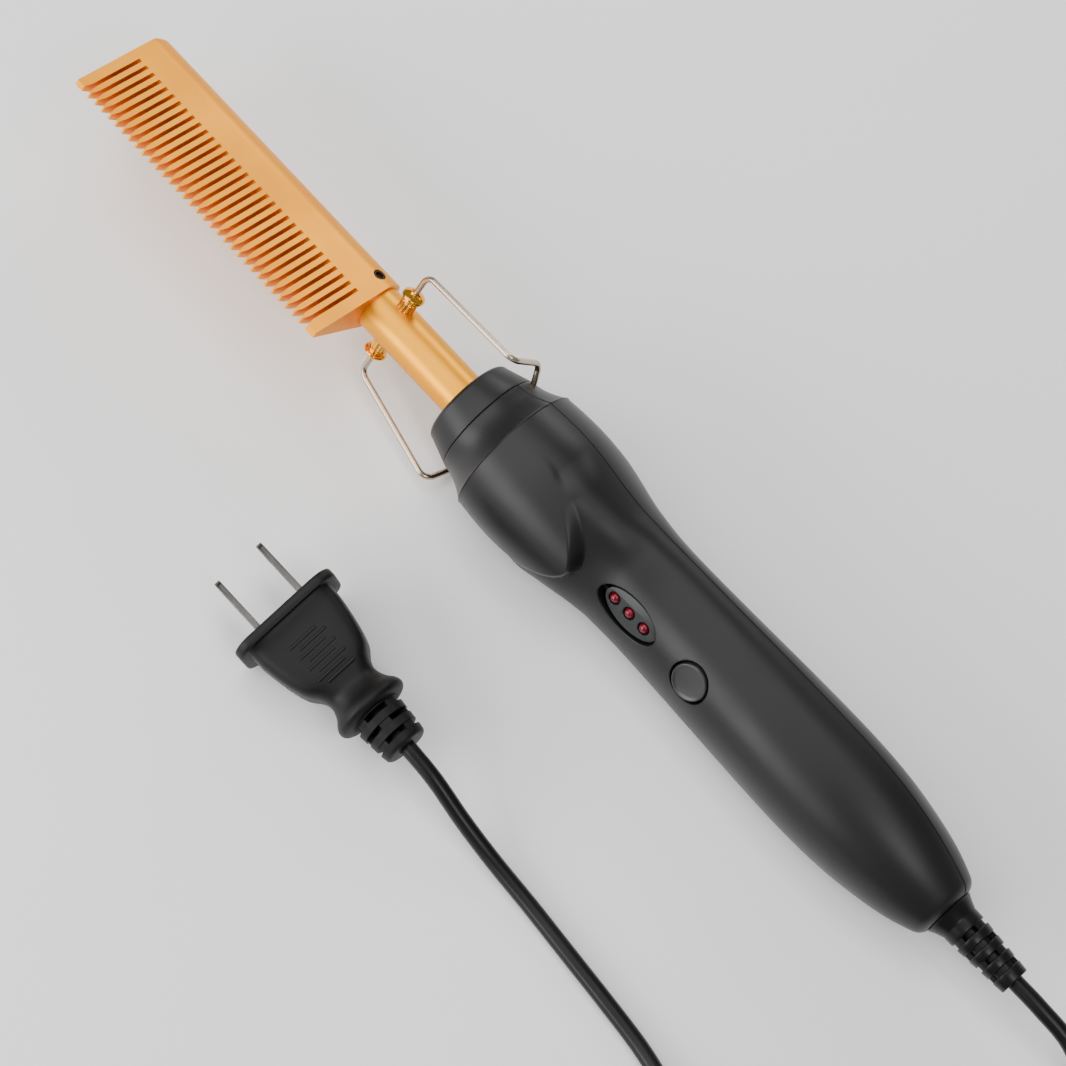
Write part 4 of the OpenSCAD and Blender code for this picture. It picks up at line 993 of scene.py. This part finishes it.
class HOTCOMB_OT_handle(bpy.types.Operator):
    """Make the nose ring and the two shells of the handle"""

    bl_idname = "hotcomb.handle"
    bl_label = "Handle"

    @staticmethod
    def stations(shape):
        """Places along the handle at which its skin is drawn, closer where it changes faster."""
        s = shape.s
        start, rim = shape.skin_from, s.handle_len - s.tail_round
        return ([start + 0.4 * (1 - cos(a)) for a in quarter(5)] + [start + 0.6]
                + paced(start + 1.0, (shape.neck_end - 0.5, 0.6))
                + [shape.neck_end + 0.1 * i for i in range(-4, 5)]
                + paced(shape.neck_end + 0.9, (28, 1.0), (50, 0.25), (rim - 0.5, 1.2))
                + [s.handle_len - s.tail_round * (1 - sin(a)) for a in quarter(12)])

    @staticmethod
    def shell(shape, point, name):
        """One shell with its wall, drawn over the +Z side: outer skin, seam edge and inner skin."""
        s = shape.s
        hollow_end = s.handle_len - 4.8
        tail_bore_r = 5.08
        steps = 180
        edge = 0.28
        rings = []
        for x in HOTCOMB_OT_handle.stations(shape):
            # the rim by the nose ring is rounded a little, and the edge of the neck is softened
            rim = 0.2 * (1 - sqrt(1 - max(0.0, 1 - (x - shape.skin_from) / 0.4) ** 2))
            rim -= 0.12 * max(0.0, 1 - abs(x - shape.neck_end) / 0.4) ** 2
            w = shape.side(x) - rim
            ring = [(x, w - 0.8, 0.02), (x, w - 0.3, 0.06)]
            for i in range(steps + 1):
                y, z = point(x, pi * i / steps, rim)
                ring.append((x, y, max(z, edge if abs(y) > w - 0.5 else 0)))
            rings.append(ring + [(x, -w + 0.3, 0.06), (x, -w + 0.8, 0.02)])
        piece = make_piece(name, *loft(rings), sharp=50.0)
        rings = []
        for x in paced(s.nose_len - 2, (hollow_end, 2.5)) + [hollow_end]:
            at_x = max(x, shape.skin_from)
            w = shape.side(at_x) - s.shell_wall
            h = (shape.front if point == shape.front_point else shape.back)(at_x) - s.shell_wall
            ring = [(x, *oval(w, h, 2, pi * i / 32)) for i in range(33)]
            rings.append([(x, w, -1)] + ring + [(x, -w, -1)])
        cut(piece, "Room", *loft(rings))
        cut(piece, "Tail bore", *turned(bar(tail_bore_r, hollow_end - 1, s.handle_len + 1), 64))
        return piece

    def execute(self, context):
        s = sizes()
        shape = HandleShape(s)
        front = self.shell(shape, shape.front_point, "handle_front")
        back = self.shell(shape, shape.back_point, "handle_back")
        self.open_front(front, shape)
        mirror_z(back)
        self.open_back(back, shape)
        for piece, node in ((front, "front_shell"), (back, "back_shell")):
            lay(piece, laid())
            shade(piece.data, 35)
            dress(piece, COMB, "handle_black", node)
        self.nose_ring(s)
        return {"FINISHED"}

    @staticmethod
    def open_front(shell, shape):
        """Cuts the button's hole and the window's opening, each with a soft rim."""
        s = shape.s
        for name, x, half_l, half_w, floor, lip in (
                ("Button hole", s.button_at, s.button_d / 2 + 0.12, s.button_d / 2 + 0.12, 2.5, 0.5),
                ("Window opening", s.window_at, s.window_l / 2 + 0.1, s.window_w / 2 + 0.1, 5.0, 1.0)):
            # a level, how far it grows and how deep it lies; without a level it follows the skin
            levels = [(floor, 0.0, 0.0), (None, 0.0, -0.35), (None, 0.04, -0.2), (None, 0.13, -0.08),
                      (None, 0.3, 0.0), (s.belly_d / 2, 0.35, 0.0)]
            rings = []
            for level, grow, depth in levels:
                ring = []
                for a in turns(96):
                    px = x + (half_l + grow * lip) * cos(a)
                    py = (half_w + grow * lip) * sin(a)
                    w, h, n = shape.side(px), shape.front(px), shape.fullness(px)
                    top = h * (max(0.0, 1 - (abs(py) / w) ** n)) ** (1 / n)
                    ring.append((px, py, top + depth * lip if level is None else level))
                rings.append(ring)
            cut(shell, name, *loft(rings))

    @staticmethod
    def open_back(shell, shape):
        """Cuts the two screw holes."""
        s = shape.s
        front_screw, rear_screw = 46.0, s.handle_len - 29
        for x in (front_screw, rear_screw):
            skin = -shape.back(x)
            profile = [(0, -30), (3.0, -30), (3.0, skin - 0.02), (2.7, skin + 0.3), (2.7, -4.5), (0, -4.5)]
            cut(shell, "Screw hole", *upright(profile, 40), place=Matrix.Scale(MM, 4) @ at(x))

    @staticmethod
    def nose_ring(s):
        """The plain cone round the barrel, with a soft rim."""
        rim = 1.3
        nose, back, hole = s.nose_d / 2, s.neck_d / 2 - 0.2, s.barrel_d / 2 + 0.25
        end, seat = s.nose_len, s.neck_d / 2
        profile = [(2.4, hole), (0.25, hole), (0.0, hole + 0.25), (0.0, nose - rim)]
        profile += [(rim * (1 - cos(a)), nose - rim * (1 - sin(a))) for a in quarter(10)[1:]]
        profile += [(end - 0.3, back), (end - 0.12, back - 0.02), (end - 0.03, back - 0.1),
                    (end, back - 0.25), (end, seat - 2.05), (end + 4, seat - 2.05), (end + 4, seat - 3.75),
                    (2.4, seat - 3.75), (2.4, hole)]
        ring = make_piece("handle_nose", *turned(profile, 160), place=laid(), sharp=35.0)
        dress(ring, COMB, "handle_black", "nose_ring")


class HOTCOMB_OT_window(bpy.types.Operator):
    """Make the oval window and the three lights in it"""

    bl_idname = "hotcomb.window"
    bl_label = "Window and Lights"

    def execute(self, context):
        s = sizes()
        shape = HandleShape(s)
        seat = shape.grip(s.window_at) - 2.4
        top = seat + 1.4
        # the pane sits a little off the middle of its opening
        aside_x, aside_y = 0.55, 0.2
        rings = []
        for z, grow in ((seat - 0.02, 0.0), (top - 0.25, 0.0), (top - 0.08, -0.08), (top, -0.3)):
            half_l, half_w = s.window_l / 2 - 0.75 + grow, s.window_w / 2 - 0.45 + grow
            rings.append([(s.window_at + aside_x + half_l * cos(a), aside_y + half_w * sin(a), z)
                          for a in turns(96)])
        window = make_piece("oval_window", *loft(rings), sharp=40.0)
        places = [s.window_at + k * s.light_pitch for k in (-1, 0, 1)]
        light_r = s.light_d / 2
        hole = [(0, seat - 1), (light_r + 0.1, seat - 1), (light_r + 0.1, top - 0.12),
                (light_r + 0.3, top + 0.1), (0, top + 0.1)]
        for x in places:
            cut(window, "Light hole", *upright(hole, 40), place=Matrix.Scale(MM, 4) @ at(x))
        lay(window, laid())
        shade(window.data, 40)
        dress(window, COMB, "window_dark", "light_window")
        r, crown = light_r - 0.22, top + 0.6
        profile = [(0, seat - 3), (r, seat - 3)]
        profile += [(r * cos(a), crown - r + r * sin(a)) for a in quarter(14)[:-1]] + [(0, crown)]
        for x, node in zip(places, ("light_low", "light_mid", "light_high")):
            lens = make_piece("lens_" + node[6:], *upright(profile, 40), place=laid() @ at(x))
            dress(lens, COMB, "light_red", node)
        return {"FINISHED"}


class HOTCOMB_OT_button(bpy.types.Operator):
    """Make the push button"""

    bl_idname = "hotcomb.button"
    bl_label = "Push Button"

    def execute(self, context):
        s = sizes()
        shape = HandleShape(s)
        top = shape.grip(s.button_at) - s.button_sink
        cap = s.button_d / 2 - 0.42
        base = 7.4
        guide = s.button_d / 2
        dish = cap - 1.1
        profile = [(0, base), (guide + 0.9, base), (guide + 0.9, base + 0.9), (guide, base + 0.9),
                   (guide, base + 1.1), (cap, base + 1.3), (cap, top - 0.35), (cap - 0.1, top - 0.12),
                   (cap - 0.3, top), (cap - 0.5, top - 0.02), (cap - 0.75, top - 0.17), (dish, top - 0.22)]
        profile += [(r, top - 0.22 - 0.16 * (1 - (r / dish) ** 2)) for r in (3.0, 2.4, 1.8, 1.2, 0.6)]
        profile.append((0, top - 0.38))
        button = make_piece("push_button", *upright(profile, 96), place=laid() @ at(s.button_at),
                            sharp=50.0)
        dress(button, BUTTON, "button_black", "power_button")
        return {"FINISHED"}


def slotted_boot(rings, slots, deep, valley, half_turn, start, steps=144):
    """A round boot of (x, radius) stations with rings of four short slots.

    Each slot is (x0, x1): between them the skin drops to a valley, and to a deep pocket in four
    places round it. Each ring of pockets is turned an eighth from the one before.
    """
    out = []
    for x, r in rings:
        ring = []
        inside = next((i for i, (a, b) in enumerate(slots) if a < x < b), None)
        for a in turns(steps):
            q = r
            if inside is not None:
                turn = (a - start - inside * pi / 4 + pi / 4) % (pi / 2) - pi / 4
                q = deep if abs(turn) < half_turn else r - valley
            ring.append((x, q * cos(a), q * sin(a)))
        out.append(ring)
    return out


class HOTCOMB_OT_strain_relief(bpy.types.Operator):
    """Make the slotted strain relief in the tail"""

    bl_idname = "hotcomb.strain_relief"
    bl_label = "Strain Relief"

    def execute(self, context):
        s = sizes()
        x0 = s.handle_len + 0.15
        x1 = s.handle_len + s.relief_cone
        x2 = s.handle_len + s.relief_len
        first = x1 + s.relief_collar
        pitch = (x2 - first) / 4.2
        slots = [(first + i * pitch, first + i * pitch + s.relief_gap) for i in range(4)]

        root, rib, end = s.relief_root_d / 2, s.relief_rib_d / 2, s.relief_end_d / 2

        def radius(x):
            if x < x1:
                return root + (rib - root) * ((x - x0) / (x1 - x0)) ** 0.8
            if x < first:
                return rib
            return rib + (end - rib) * (x - first) / (x2 - first)

        stations = [x0, x0 + 0.12] + [x0 + (x1 - x0) * i / 8 for i in range(1, 9)]
        rings = [(x, radius(x)) for x in stations + [x1 + 0.02, x1 + 0.15, x1 + 0.4]]
        soft = 0.3
        edges = ([(x1 + 0.4, slots[0][0])] + [(a[1], b[0]) for a, b in zip(slots, slots[1:])]
                 + [(slots[-1][1], x2)])
        for k, (a, b) in enumerate(edges):
            if k:
                rings += [(a + soft * (1 - cos(t)), radius(a) - soft * (1 - sin(t))) for t in quarter(4)]
            rings.append(((a + b) / 2, radius((a + b) / 2)))
            rings += [(b - soft * (1 - cos(t)), radius(b) - soft * (1 - sin(t)))
                      for t in reversed(quarter(4))]
            if b < x2:
                rings += [(b + step, radius(b)) for step in (0.02, s.relief_gap / 2, s.relief_gap - 0.02)]
        half_turn = 0.8 * s.relief_slot_w / s.relief_rib_d
        skin = slotted_boot(rings, slots, s.cord_d / 2 + 0.9, 0.24, half_turn, radians(51))
        # inside the tail: neck and flange
        flange = s.handle_len - 4.95
        inner = [(flange - 2.4, 7.0), (flange, 7.0), (flange + 0.02, 5.0), (x0 - 0.02, 5.0)]
        start = [[(x, r * cos(a), r * sin(a)) for a in turns(144)] for x, r in inner]
        boot = make_piece("cord_boot", *loft(start + skin), place=laid(), sharp=40.0)
        dress(boot, SWIVEL, "cord_black", "strain_relief")
        return {"FINISHED"}


# ---- cord and plug, drawn on the table ----

PLUG_FACE_X = -23.9
PLUG_Y = -62.7
PLUG_ROLL = radians(10)
COIL_AT = Vector((167.5, -72.0, 0.0))
COIL_LOW = 2.65
COIL_RISE = 4.05
TIE_T = 0.6
TIE_SETBACK = 24.0


def plug_height(s):
    """Height of the plug's middle: it leans a little on one edge of its rim."""
    return s.plug_h / 2 * cos(PLUG_ROLL) + s.plug_w / 2 * sin(PLUG_ROLL) + 0.05


def cord_start():
    """Where the cord leaves the strain relief, and its direction there."""
    s = sizes()
    place = laid()
    tip = place @ Vector((s.handle_len + s.relief_len + 0.03, 0, 0)) / MM
    ahead = Vector((cos(radians(REST_PITCH)), 0, -sin(radians(REST_PITCH))))
    return tip, ahead


def coil_turns():
    """The turns of the coil, clockwise: four layers that run in, out, in and out."""
    outer, inner, layer_turns, climb = 29.0, 19.0, 2.47, 1 / 6
    per_turn = 30
    angle, points = radians(10), []
    for layer in range(4):
        r0, r1 = (outer, inner) if layer % 2 == 0 else (inner, outer)
        steps = ceil(layer_turns * per_turn)
        for i in range(steps + 1):
            a = angle - 2 * pi * layer_turns * i / steps
            r = r0 + (r1 - r0) * i / steps
            points.append(COIL_AT + Vector((r * cos(a), r * sin(a), COIL_LOW + COIL_RISE * layer)))
        angle -= 2 * pi * layer_turns
        if layer < 3:
            for i in range(1, 5):
                a = angle - 2 * pi * climb * i / 5
                rise = COIL_RISE * (layer + smooth(i / 5))
                points.append(COIL_AT + Vector((r1 * cos(a), r1 * sin(a), COIL_LOW + rise)))
            angle -= 2 * pi * climb
    return points


def cord_path():
    """The whole cord from the strain relief through its coil to the plug."""
    s = sizes()
    start, ahead = cord_start()
    plug_tail = Vector((PLUG_FACE_X + s.plug_body_l + s.plug_relief_l + 0.03, PLUG_Y, plug_height(s)))
    coil = coil_turns()
    to_coil = [start + ahead, start + 8 * ahead, (164.5, 0.4, 11.2), (173.5, -3.4, 8.4), (181.1, -11, 5.2),
               (186.3, -21, 3.1), (189.5, -32, 2.3), (191.9, -44, 2.2), (193.9, -55.5, 2.4), coil[0]]
    to_plug = [coil[-1], (142, -88.9, 14.2), (133.5, -82.4, 11.4), (123.5, -76, 7.2), (113.5, -71.4, 3.8),
               (102.5, -68.6, 2.3), (89.5, -67.2, 2.15), (75.5, -66.1, 2.15), (61.5, -65, 2.2),
               (48.5, -64.4, 3.3), (37.5, -63.8, 6.1), (27, -62.9, 9.8), plug_tail + Vector((1, 0, 0))]
    return [start] + spline(to_coil, 5)[:-1] + coil + spline(to_plug, 5)[1:] + [plug_tail]


class HOTCOMB_OT_cord(bpy.types.Operator):
    """Make the cord with its coil and the tie round it"""

    bl_idname = "hotcomb.cord"
    bl_label = "Cord"

    def execute(self, context):
        s = sizes()
        path = cord_path()
        cord = make_piece("whole_cord", *tube(path, s.cord_d), sharp=50.0)
        dress(cord, COMB, "cord_black", "cord_to_coil", "cord_coil", "cord_to_plug")
        tie = self.tie()
        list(plug_pieces(s))
        return {"FINISHED"}

    @staticmethod
    def tie():
        """A flat strap round the bundle, on the side towards the handle."""
        bundle_w, bundle_h, corner = 14.5, 16.4, 0.9
        reach = bundle_w / 2 + 0.3
        low, high = TIE_T, TIE_T + bundle_h + 0.05
        rings = []
        for grow, y0 in ((0, -2.5), (TIE_T, -2.5), (TIE_T, 2.5), (0, 2.5)):
            ring = []
            for cx, cz, turn in ((reach, high, 0), (-reach, high, 90), (-reach, low, 180),
                                 (reach, low, 270)):
                for i in range(7):
                    a = radians(turn + 15 * i)
                    px = cx - copysign(corner, cx) + (corner + grow) * cos(a)
                    pz = cz + (-corner if cz == high else corner) + (corner + grow) * sin(a)
                    ring.append((COIL_AT.x - TIE_SETBACK + px, COIL_AT.y + y0, pz))
            rings.append(ring)
        strap = make_piece("coil_strap", *loft(rings + [rings[0]], capped=False), sharp=35.0)
        dress(strap, COMB, "tie_black", "coil_tie")
        return strap


def plug_pieces(s):
    """The plug's body and its two blades."""
    place = (Matrix.Scale(MM, 4) @ Matrix.Translation((PLUG_FACE_X, PLUG_Y, plug_height(s)))
             @ Matrix.Rotation(PLUG_ROLL, 4, "X"))
    pieces = [plug_body(s)]
    lay(pieces[0], place)
    dress(pieces[0], COMB, "plug_black", "plug_body")
    half_w, half_t, end = s.blade_w / 2, s.blade_t / 2, -s.blade_l
    outline = [(9.9, -half_w), (9.9, half_w), (end + 1.2, half_w), (end, half_w - 1.0), (end, 1.0 - half_w),
               (end + 1.2, -half_w)]
    for name, node, side in (("left_blade", "plug_blade_left", 1), ("right_blade", "plug_blade_right", -1)):
        y = side * s.blade_pitch / 2
        blade = make_piece(name, *loft([[(x, y + t, z) for x, z in outline] for t in (-half_t, half_t)]))
        cut(blade, "Blade hole", *upright(rod(1.5, -3, 3), 40),
            place=Matrix.Scale(MM, 4) @ at(end + 3.8, y, 90))
        soften(blade, 0.2)
        lay(blade, place)
        dress(blade, COMB, "blade_nickel", node)
        pieces.append(blade)
    return pieces


# Share of the length behind the rim, half width, half height and squareness of the plug's body
PLUG_SHAPE = [(0, 12.3, 8.5, 5), (0.03, 12.1, 8.0, 5), (0.08, 12.0, 7.6, 5), (0.17, 11.8, 7.3, 5),
              (0.37, 10.8, 7.0, 5), (0.54, 9.4, 6.7, 4.5),
              (0.65, 7.3, 6.2, 3.5), (0.74, 6.6, 6.0, 2.7), (0.83, 7.4, 6.9, 2.3), (0.9, 8.9, 8.3, 2),
              (0.95, 9.2, 8.7, 2), (0.985, 8.5, 8.0, 2), (1, 7.0, 6.8, 2)]


def plug_body(s):
    """The moulded plug: rim, waisted body with its collar, and a slotted boot."""
    rim, tail = s.plug_rim, s.plug_body_l
    overlap = 0.4
    skin = []
    for share, w, h, fullness in spline(PLUG_SHAPE, 6):
        x = rim - overlap + share * (tail - rim + overlap)
        skin.append([(x, *oval(w, h, fullness, a)) for a in turns(96)])
    body = make_piece("moulded_plug", *loft(skin), sharp=45.0)
    rim_profile = [(0.0, 0.45), (0.1, 0.15), (0.4, 0.0), (rim - 0.6, 0.0), (rim - 0.2, 0.15), (rim, 0.6)]
    slab = make_piece("Plug rim", *loft(
        [[(x, y, z) for y, z in rounded_box(s.plug_w / 2 - inset, s.plug_h / 2 - inset, 4.5)]
         for x, inset in rim_profile]), sharp=45.0)
    ends = tail + s.plug_relief_l
    slot_pitch, boot_r, boot_end_r = 3.3, 6.4, 5.55
    slots = [(tail + 0.3 + slot_pitch * i, tail + 1.6 + slot_pitch * i) for i in range(3)]

    def radius(x):
        return boot_r + (boot_end_r - boot_r) * max(0.0, (x - tail) / s.plug_relief_l)

    stations = [(tail - 4, boot_r), (tail, boot_r)]
    for a, b in slots:
        between = (b + slot_pitch + a) / 2
        stations += [(edge + step, radius(edge)) for edge in (a, b) for step in (-0.05, 0.05)]
        stations.append((between, radius(between)))
    stations.pop()
    stations += [(ends - 1.0 * (1 - sin(t)), radius(ends) - 1.0 * (1 - cos(t))) for t in quarter(5)]
    skin = slotted_boot(stations, slots, s.cord_d / 2 + 1.2, 0.3, 0.5, 0.0, 96)
    boot = make_piece("Plug boot", *loft(skin), sharp=40.0)
    for face in (1, -1):
        add_ridges(body, face)
    return join_pieces("moulded_plug", [body, slab, boot])


def add_ridges(body, face):
    """Repeats a rounded ridge on one broad face of the plug, every other one set aside."""
    tree = build_tree(
        "GeometryNodeTree", "Plug ridges",
        [("Body", "Geometry"), ("Ridge", "Object"), ("Count", "Int"), ("Start", "Vector"),
         ("Step", "Vector"), ("Stagger", "Float"), ("Material", "Material")],
        [("Plug", "Geometry")],
        {"line": "GeometryNodeMeshLine", "shift": "GeometryNodeSetPosition",
         "index": "GeometryNodeInputIndex", "odd": ("ShaderNodeMath", {"operation": "MODULO", 1: 2.0}),
         "aside": ("ShaderNodeMath", {"operation": "MULTIPLY"}), "offset": "ShaderNodeCombineXYZ",
         **REPEATING},
        ["index.Index > odd.0", "odd.0 > aside.0", "in.Stagger > aside.1", "aside.0 > offset.Y",
         "in.Count > line.Count", "in.Start > line.Start Location", "in.Step > line.Offset",
         "line.Mesh > shift.Geometry", "offset.0 > shift.Offset", "in.Ridge > source.Object",
         "shift.Geometry > copies.Points", "source.Geometry > copies.Instance", "in.Body > whole.Geometry",
         "copies.Instances > whole.Geometry", "whole.Geometry > real.Geometry",
         "real.Geometry > paint.Geometry", "in.Material > paint.Material", "paint.Geometry > out.Plug"])
    ridge_w, ridge_l, ridge_h, root = 0.8, 8.0, 0.4, 0.8
    count, pitch, slope = 8, 1.6, 0.055
    ridge = make_piece("Ridge", *box_points((-ridge_w / 2, -ridge_l / 2, -root),
                                            (ridge_w / 2, ridge_l / 2, ridge_h)))
    soften(ridge, 0.25)
    if face < 0:
        mirror_z(ridge)
    run_tree(body, tree, Ridge=ridge, Count=count, Start=Vector((8.5, -pitch / 2, face * 7.0)) * MM,
             Step=Vector((pitch, 0, -face * slope * pitch)) * MM, Stagger=pitch * MM,
             Material=slot_finish("plug_black"))
    bpy.data.objects.remove(ridge)


class HOTCOMB_OT_inner_finishes(bpy.types.Operator):
    """Give the inner pieces that keep their CAD shape their own finishes"""

    bl_idname = "hotcomb.inner_finishes"
    bl_label = "Inner Finishes"

    def execute(self, context):
        def plain(name, value, low=0.4, high=0.55, metallic=0.0):
            return make_finish(name, value, low, high, metallic, 2500.0)

        ceramic = plain("Ceramic", (0.80, 0.77, 0.70))
        component = plain("Component black", (0.02, 0.02, 0.022))
        zinc = plain("Zinc screws", (0.60, 0.61, 0.63), 0.25, 0.4, 1.0)
        contact = plain("Contact brass", (0.80, 0.56, 0.26), 0.2, 0.3, 1.0)
        finishes = {
            "heat_spreader": plain("Machined aluminium", (0.72, 0.73, 0.75), 0.3, 0.4, 1.0),
            "temperature_sensor": plain("Sensor glass", (0.50, 0.20, 0.06), 0.1, 0.2),
            "barrel_holder": plain("Holder brown", (0.11, 0.055, 0.03)),
            "switch_body": plain("Switch can", (0.45, 0.45, 0.46), 0.3, 0.4, 1.0),
            "control_board": plain("Board green", (0.02, 0.13, 0.05), 0.3, 0.4),
            "filter_capacitor": plain("Capacitor yellow", (0.65, 0.38, 0.04)),
            "heater_leads": plain("Lead red", (0.42, 0.02, 0.015)),
            "sensor_leads": plain("Lead white", (0.70, 0.68, 0.62)),
            "mains_leads": plain("Lead blue", (0.02, 0.035, 0.22)),
        }
        for material, nodes in ((ceramic, ("ceramic_heater", "thermal_fuse", "brush_holder",
                                           "swivel_spool")),
                                (zinc, ("shell_screws", "board_screws")),
                                (component, ("switch_plunger", "control_chip", "power_triac")),
                                (contact, ("brush_live", "brush_neutral", "slip_ring_live",
                                           "slip_ring_neutral"))):
            finishes.update(dict.fromkeys(nodes, material))
        for node, material in finishes.items():
            finish_with(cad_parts[node], material)
        return {"FINISHED"}


# ---- camera, floor and lights ----

CAMERA_AT = Vector((182.12, -217.35, 795.75))
CAMERA_AIM = Vector((0.36, -9.33, 18.0))
CAMERA_ROLL = 6.856
LENS = 123.24
FLOOR_HALF = 1500
WORLD_LIGHT = 0.33


def aimed(place, target, roll=0.0):
    """A matrix at a place in millimetres that looks at a target, turned by a roll."""
    turn = (target - place).to_track_quat("-Z", "Y").to_matrix().to_4x4()
    return Matrix.Translation(place * MM) @ turn @ Matrix.Rotation(radians(roll), 4, "Z")


class HOTCOMB_OT_studio(bpy.types.Operator):
    """Make the camera, the pale floor and the soft lights"""

    bl_idname = "hotcomb.studio"
    bl_label = "Studio"

    @staticmethod
    def soft_light(name, place, target, width, height, power):
        light = bpy.data.lights.new(name, "AREA")
        light.shape = "RECTANGLE"
        light.size = width * MM
        light.size_y = height * MM
        light.energy = power
        lamp = bpy.data.objects.new(name, light)
        lamp.matrix_world = aimed(Vector(place), Vector(target))
        bpy.context.scene.collection.objects.link(lamp)

    def execute(self, context):
        scene = context.scene
        data = bpy.data.cameras.new("Camera")
        data.lens = LENS
        data.sensor_width = 36
        data.clip_start = 0.01
        data.clip_end = 20
        camera = bpy.data.objects.new("Camera", data)
        camera.matrix_world = aimed(CAMERA_AT, CAMERA_AIM, CAMERA_ROLL)
        scene.collection.objects.link(camera)
        scene.camera = camera
        corners = [(x * FLOOR_HALF, y * FLOOR_HALF, 0) for x, y in ((-1, -1), (1, -1), (1, 1), (-1, 1))]
        floor = make_piece("floor", corners, [(0, 1, 2, 3)])
        finish_with(floor, make_finish("Floor white", (0.95, 0.95, 0.95), 0.6, 0.7, size=300.0, drift=0.99,
                                       bump=0.02))
        world = bpy.data.worlds.new("Studio")
        scene.world = world
        world.use_nodes = True
        backdrop = world.node_tree.nodes["Background"]
        backdrop.inputs["Color"].default_value = (1, 1, 1, 1)
        backdrop.inputs["Strength"].default_value = WORLD_LIGHT
        self.soft_light("Front softbox", (-330, -660, 350), (0, 0, 0), 700, 420, 6.0)
        self.soft_light("Back softbox", (-260, 620, 340), (-105, 0, 20), 300, 300, 1.5)
        self.soft_light("Overhead softbox", (-430, -150, 900), (-430, -150, 0), 760, 1100, 7.1)
        self.soft_light("Overhead strip", (80, 200, 900), (80, 200, 0), 900, 130, 1.1)
        self.soft_light("Tail strip", (400, -110, 760), (125, 0, 20), 260, 200, 1.5)
        return {"FINISHED"}


class HOTCOMB_PT_panel(bpy.types.Panel):
    """Sizes, colours and pieces of the hot comb"""

    bl_label = "Hot Comb"
    bl_idname = "HOTCOMB_PT_panel"
    bl_space_type = "VIEW_3D"
    bl_region_type = "UI"
    bl_category = "Hot Comb"

    def draw(self, context):
        layout = self.layout
        for operator in OPERATORS:
            layout.operator(operator.bl_idname)
        for group in (context.scene.hot_comb_colours, context.scene.hot_comb_sizes):
            column = layout.column(align=True)
            for name in group.__annotations__:
                column.prop(group, name)


OPERATORS = (HOTCOMB_OT_studio, HOTCOMB_OT_cord, HOTCOMB_OT_comb_head, HOTCOMB_OT_barrel,
             HOTCOMB_OT_guard_posts, HOTCOMB_OT_guard_wires, HOTCOMB_OT_handle, HOTCOMB_OT_window,
             HOTCOMB_OT_button, HOTCOMB_OT_strain_relief, HOTCOMB_OT_inner_finishes)
CLASSES = (HotCombSizes, HotCombColours) + OPERATORS + (HOTCOMB_PT_panel,)


def register():
    """Registers the classes and their settings."""
    for cls in CLASSES:
        bpy.utils.register_class(cls)
    bpy.types.Scene.hot_comb_sizes = PointerProperty(type=HotCombSizes)
    bpy.types.Scene.hot_comb_colours = PointerProperty(type=HotCombColours)


def unregister():
    """Takes the classes and their settings away again."""
    del bpy.types.Scene.hot_comb_colours
    del bpy.types.Scene.hot_comb_sizes
    for cls in reversed(CLASSES):
        bpy.utils.unregister_class(cls)


def main():
    """Builds the whole scene."""
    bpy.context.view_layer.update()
    register()
    bpy.ops.hotcomb.studio()
    bpy.ops.hotcomb.cord()
    bpy.ops.hotcomb.comb_head()
    bpy.ops.hotcomb.barrel()
    bpy.ops.hotcomb.guard_posts()
    bpy.ops.hotcomb.guard_wires()
    bpy.ops.hotcomb.handle()
    bpy.ops.hotcomb.window()
    bpy.ops.hotcomb.button()
    bpy.ops.hotcomb.strain_relief()
    bpy.ops.hotcomb.inner_finishes()


if __name__ == "__main__":
    main()
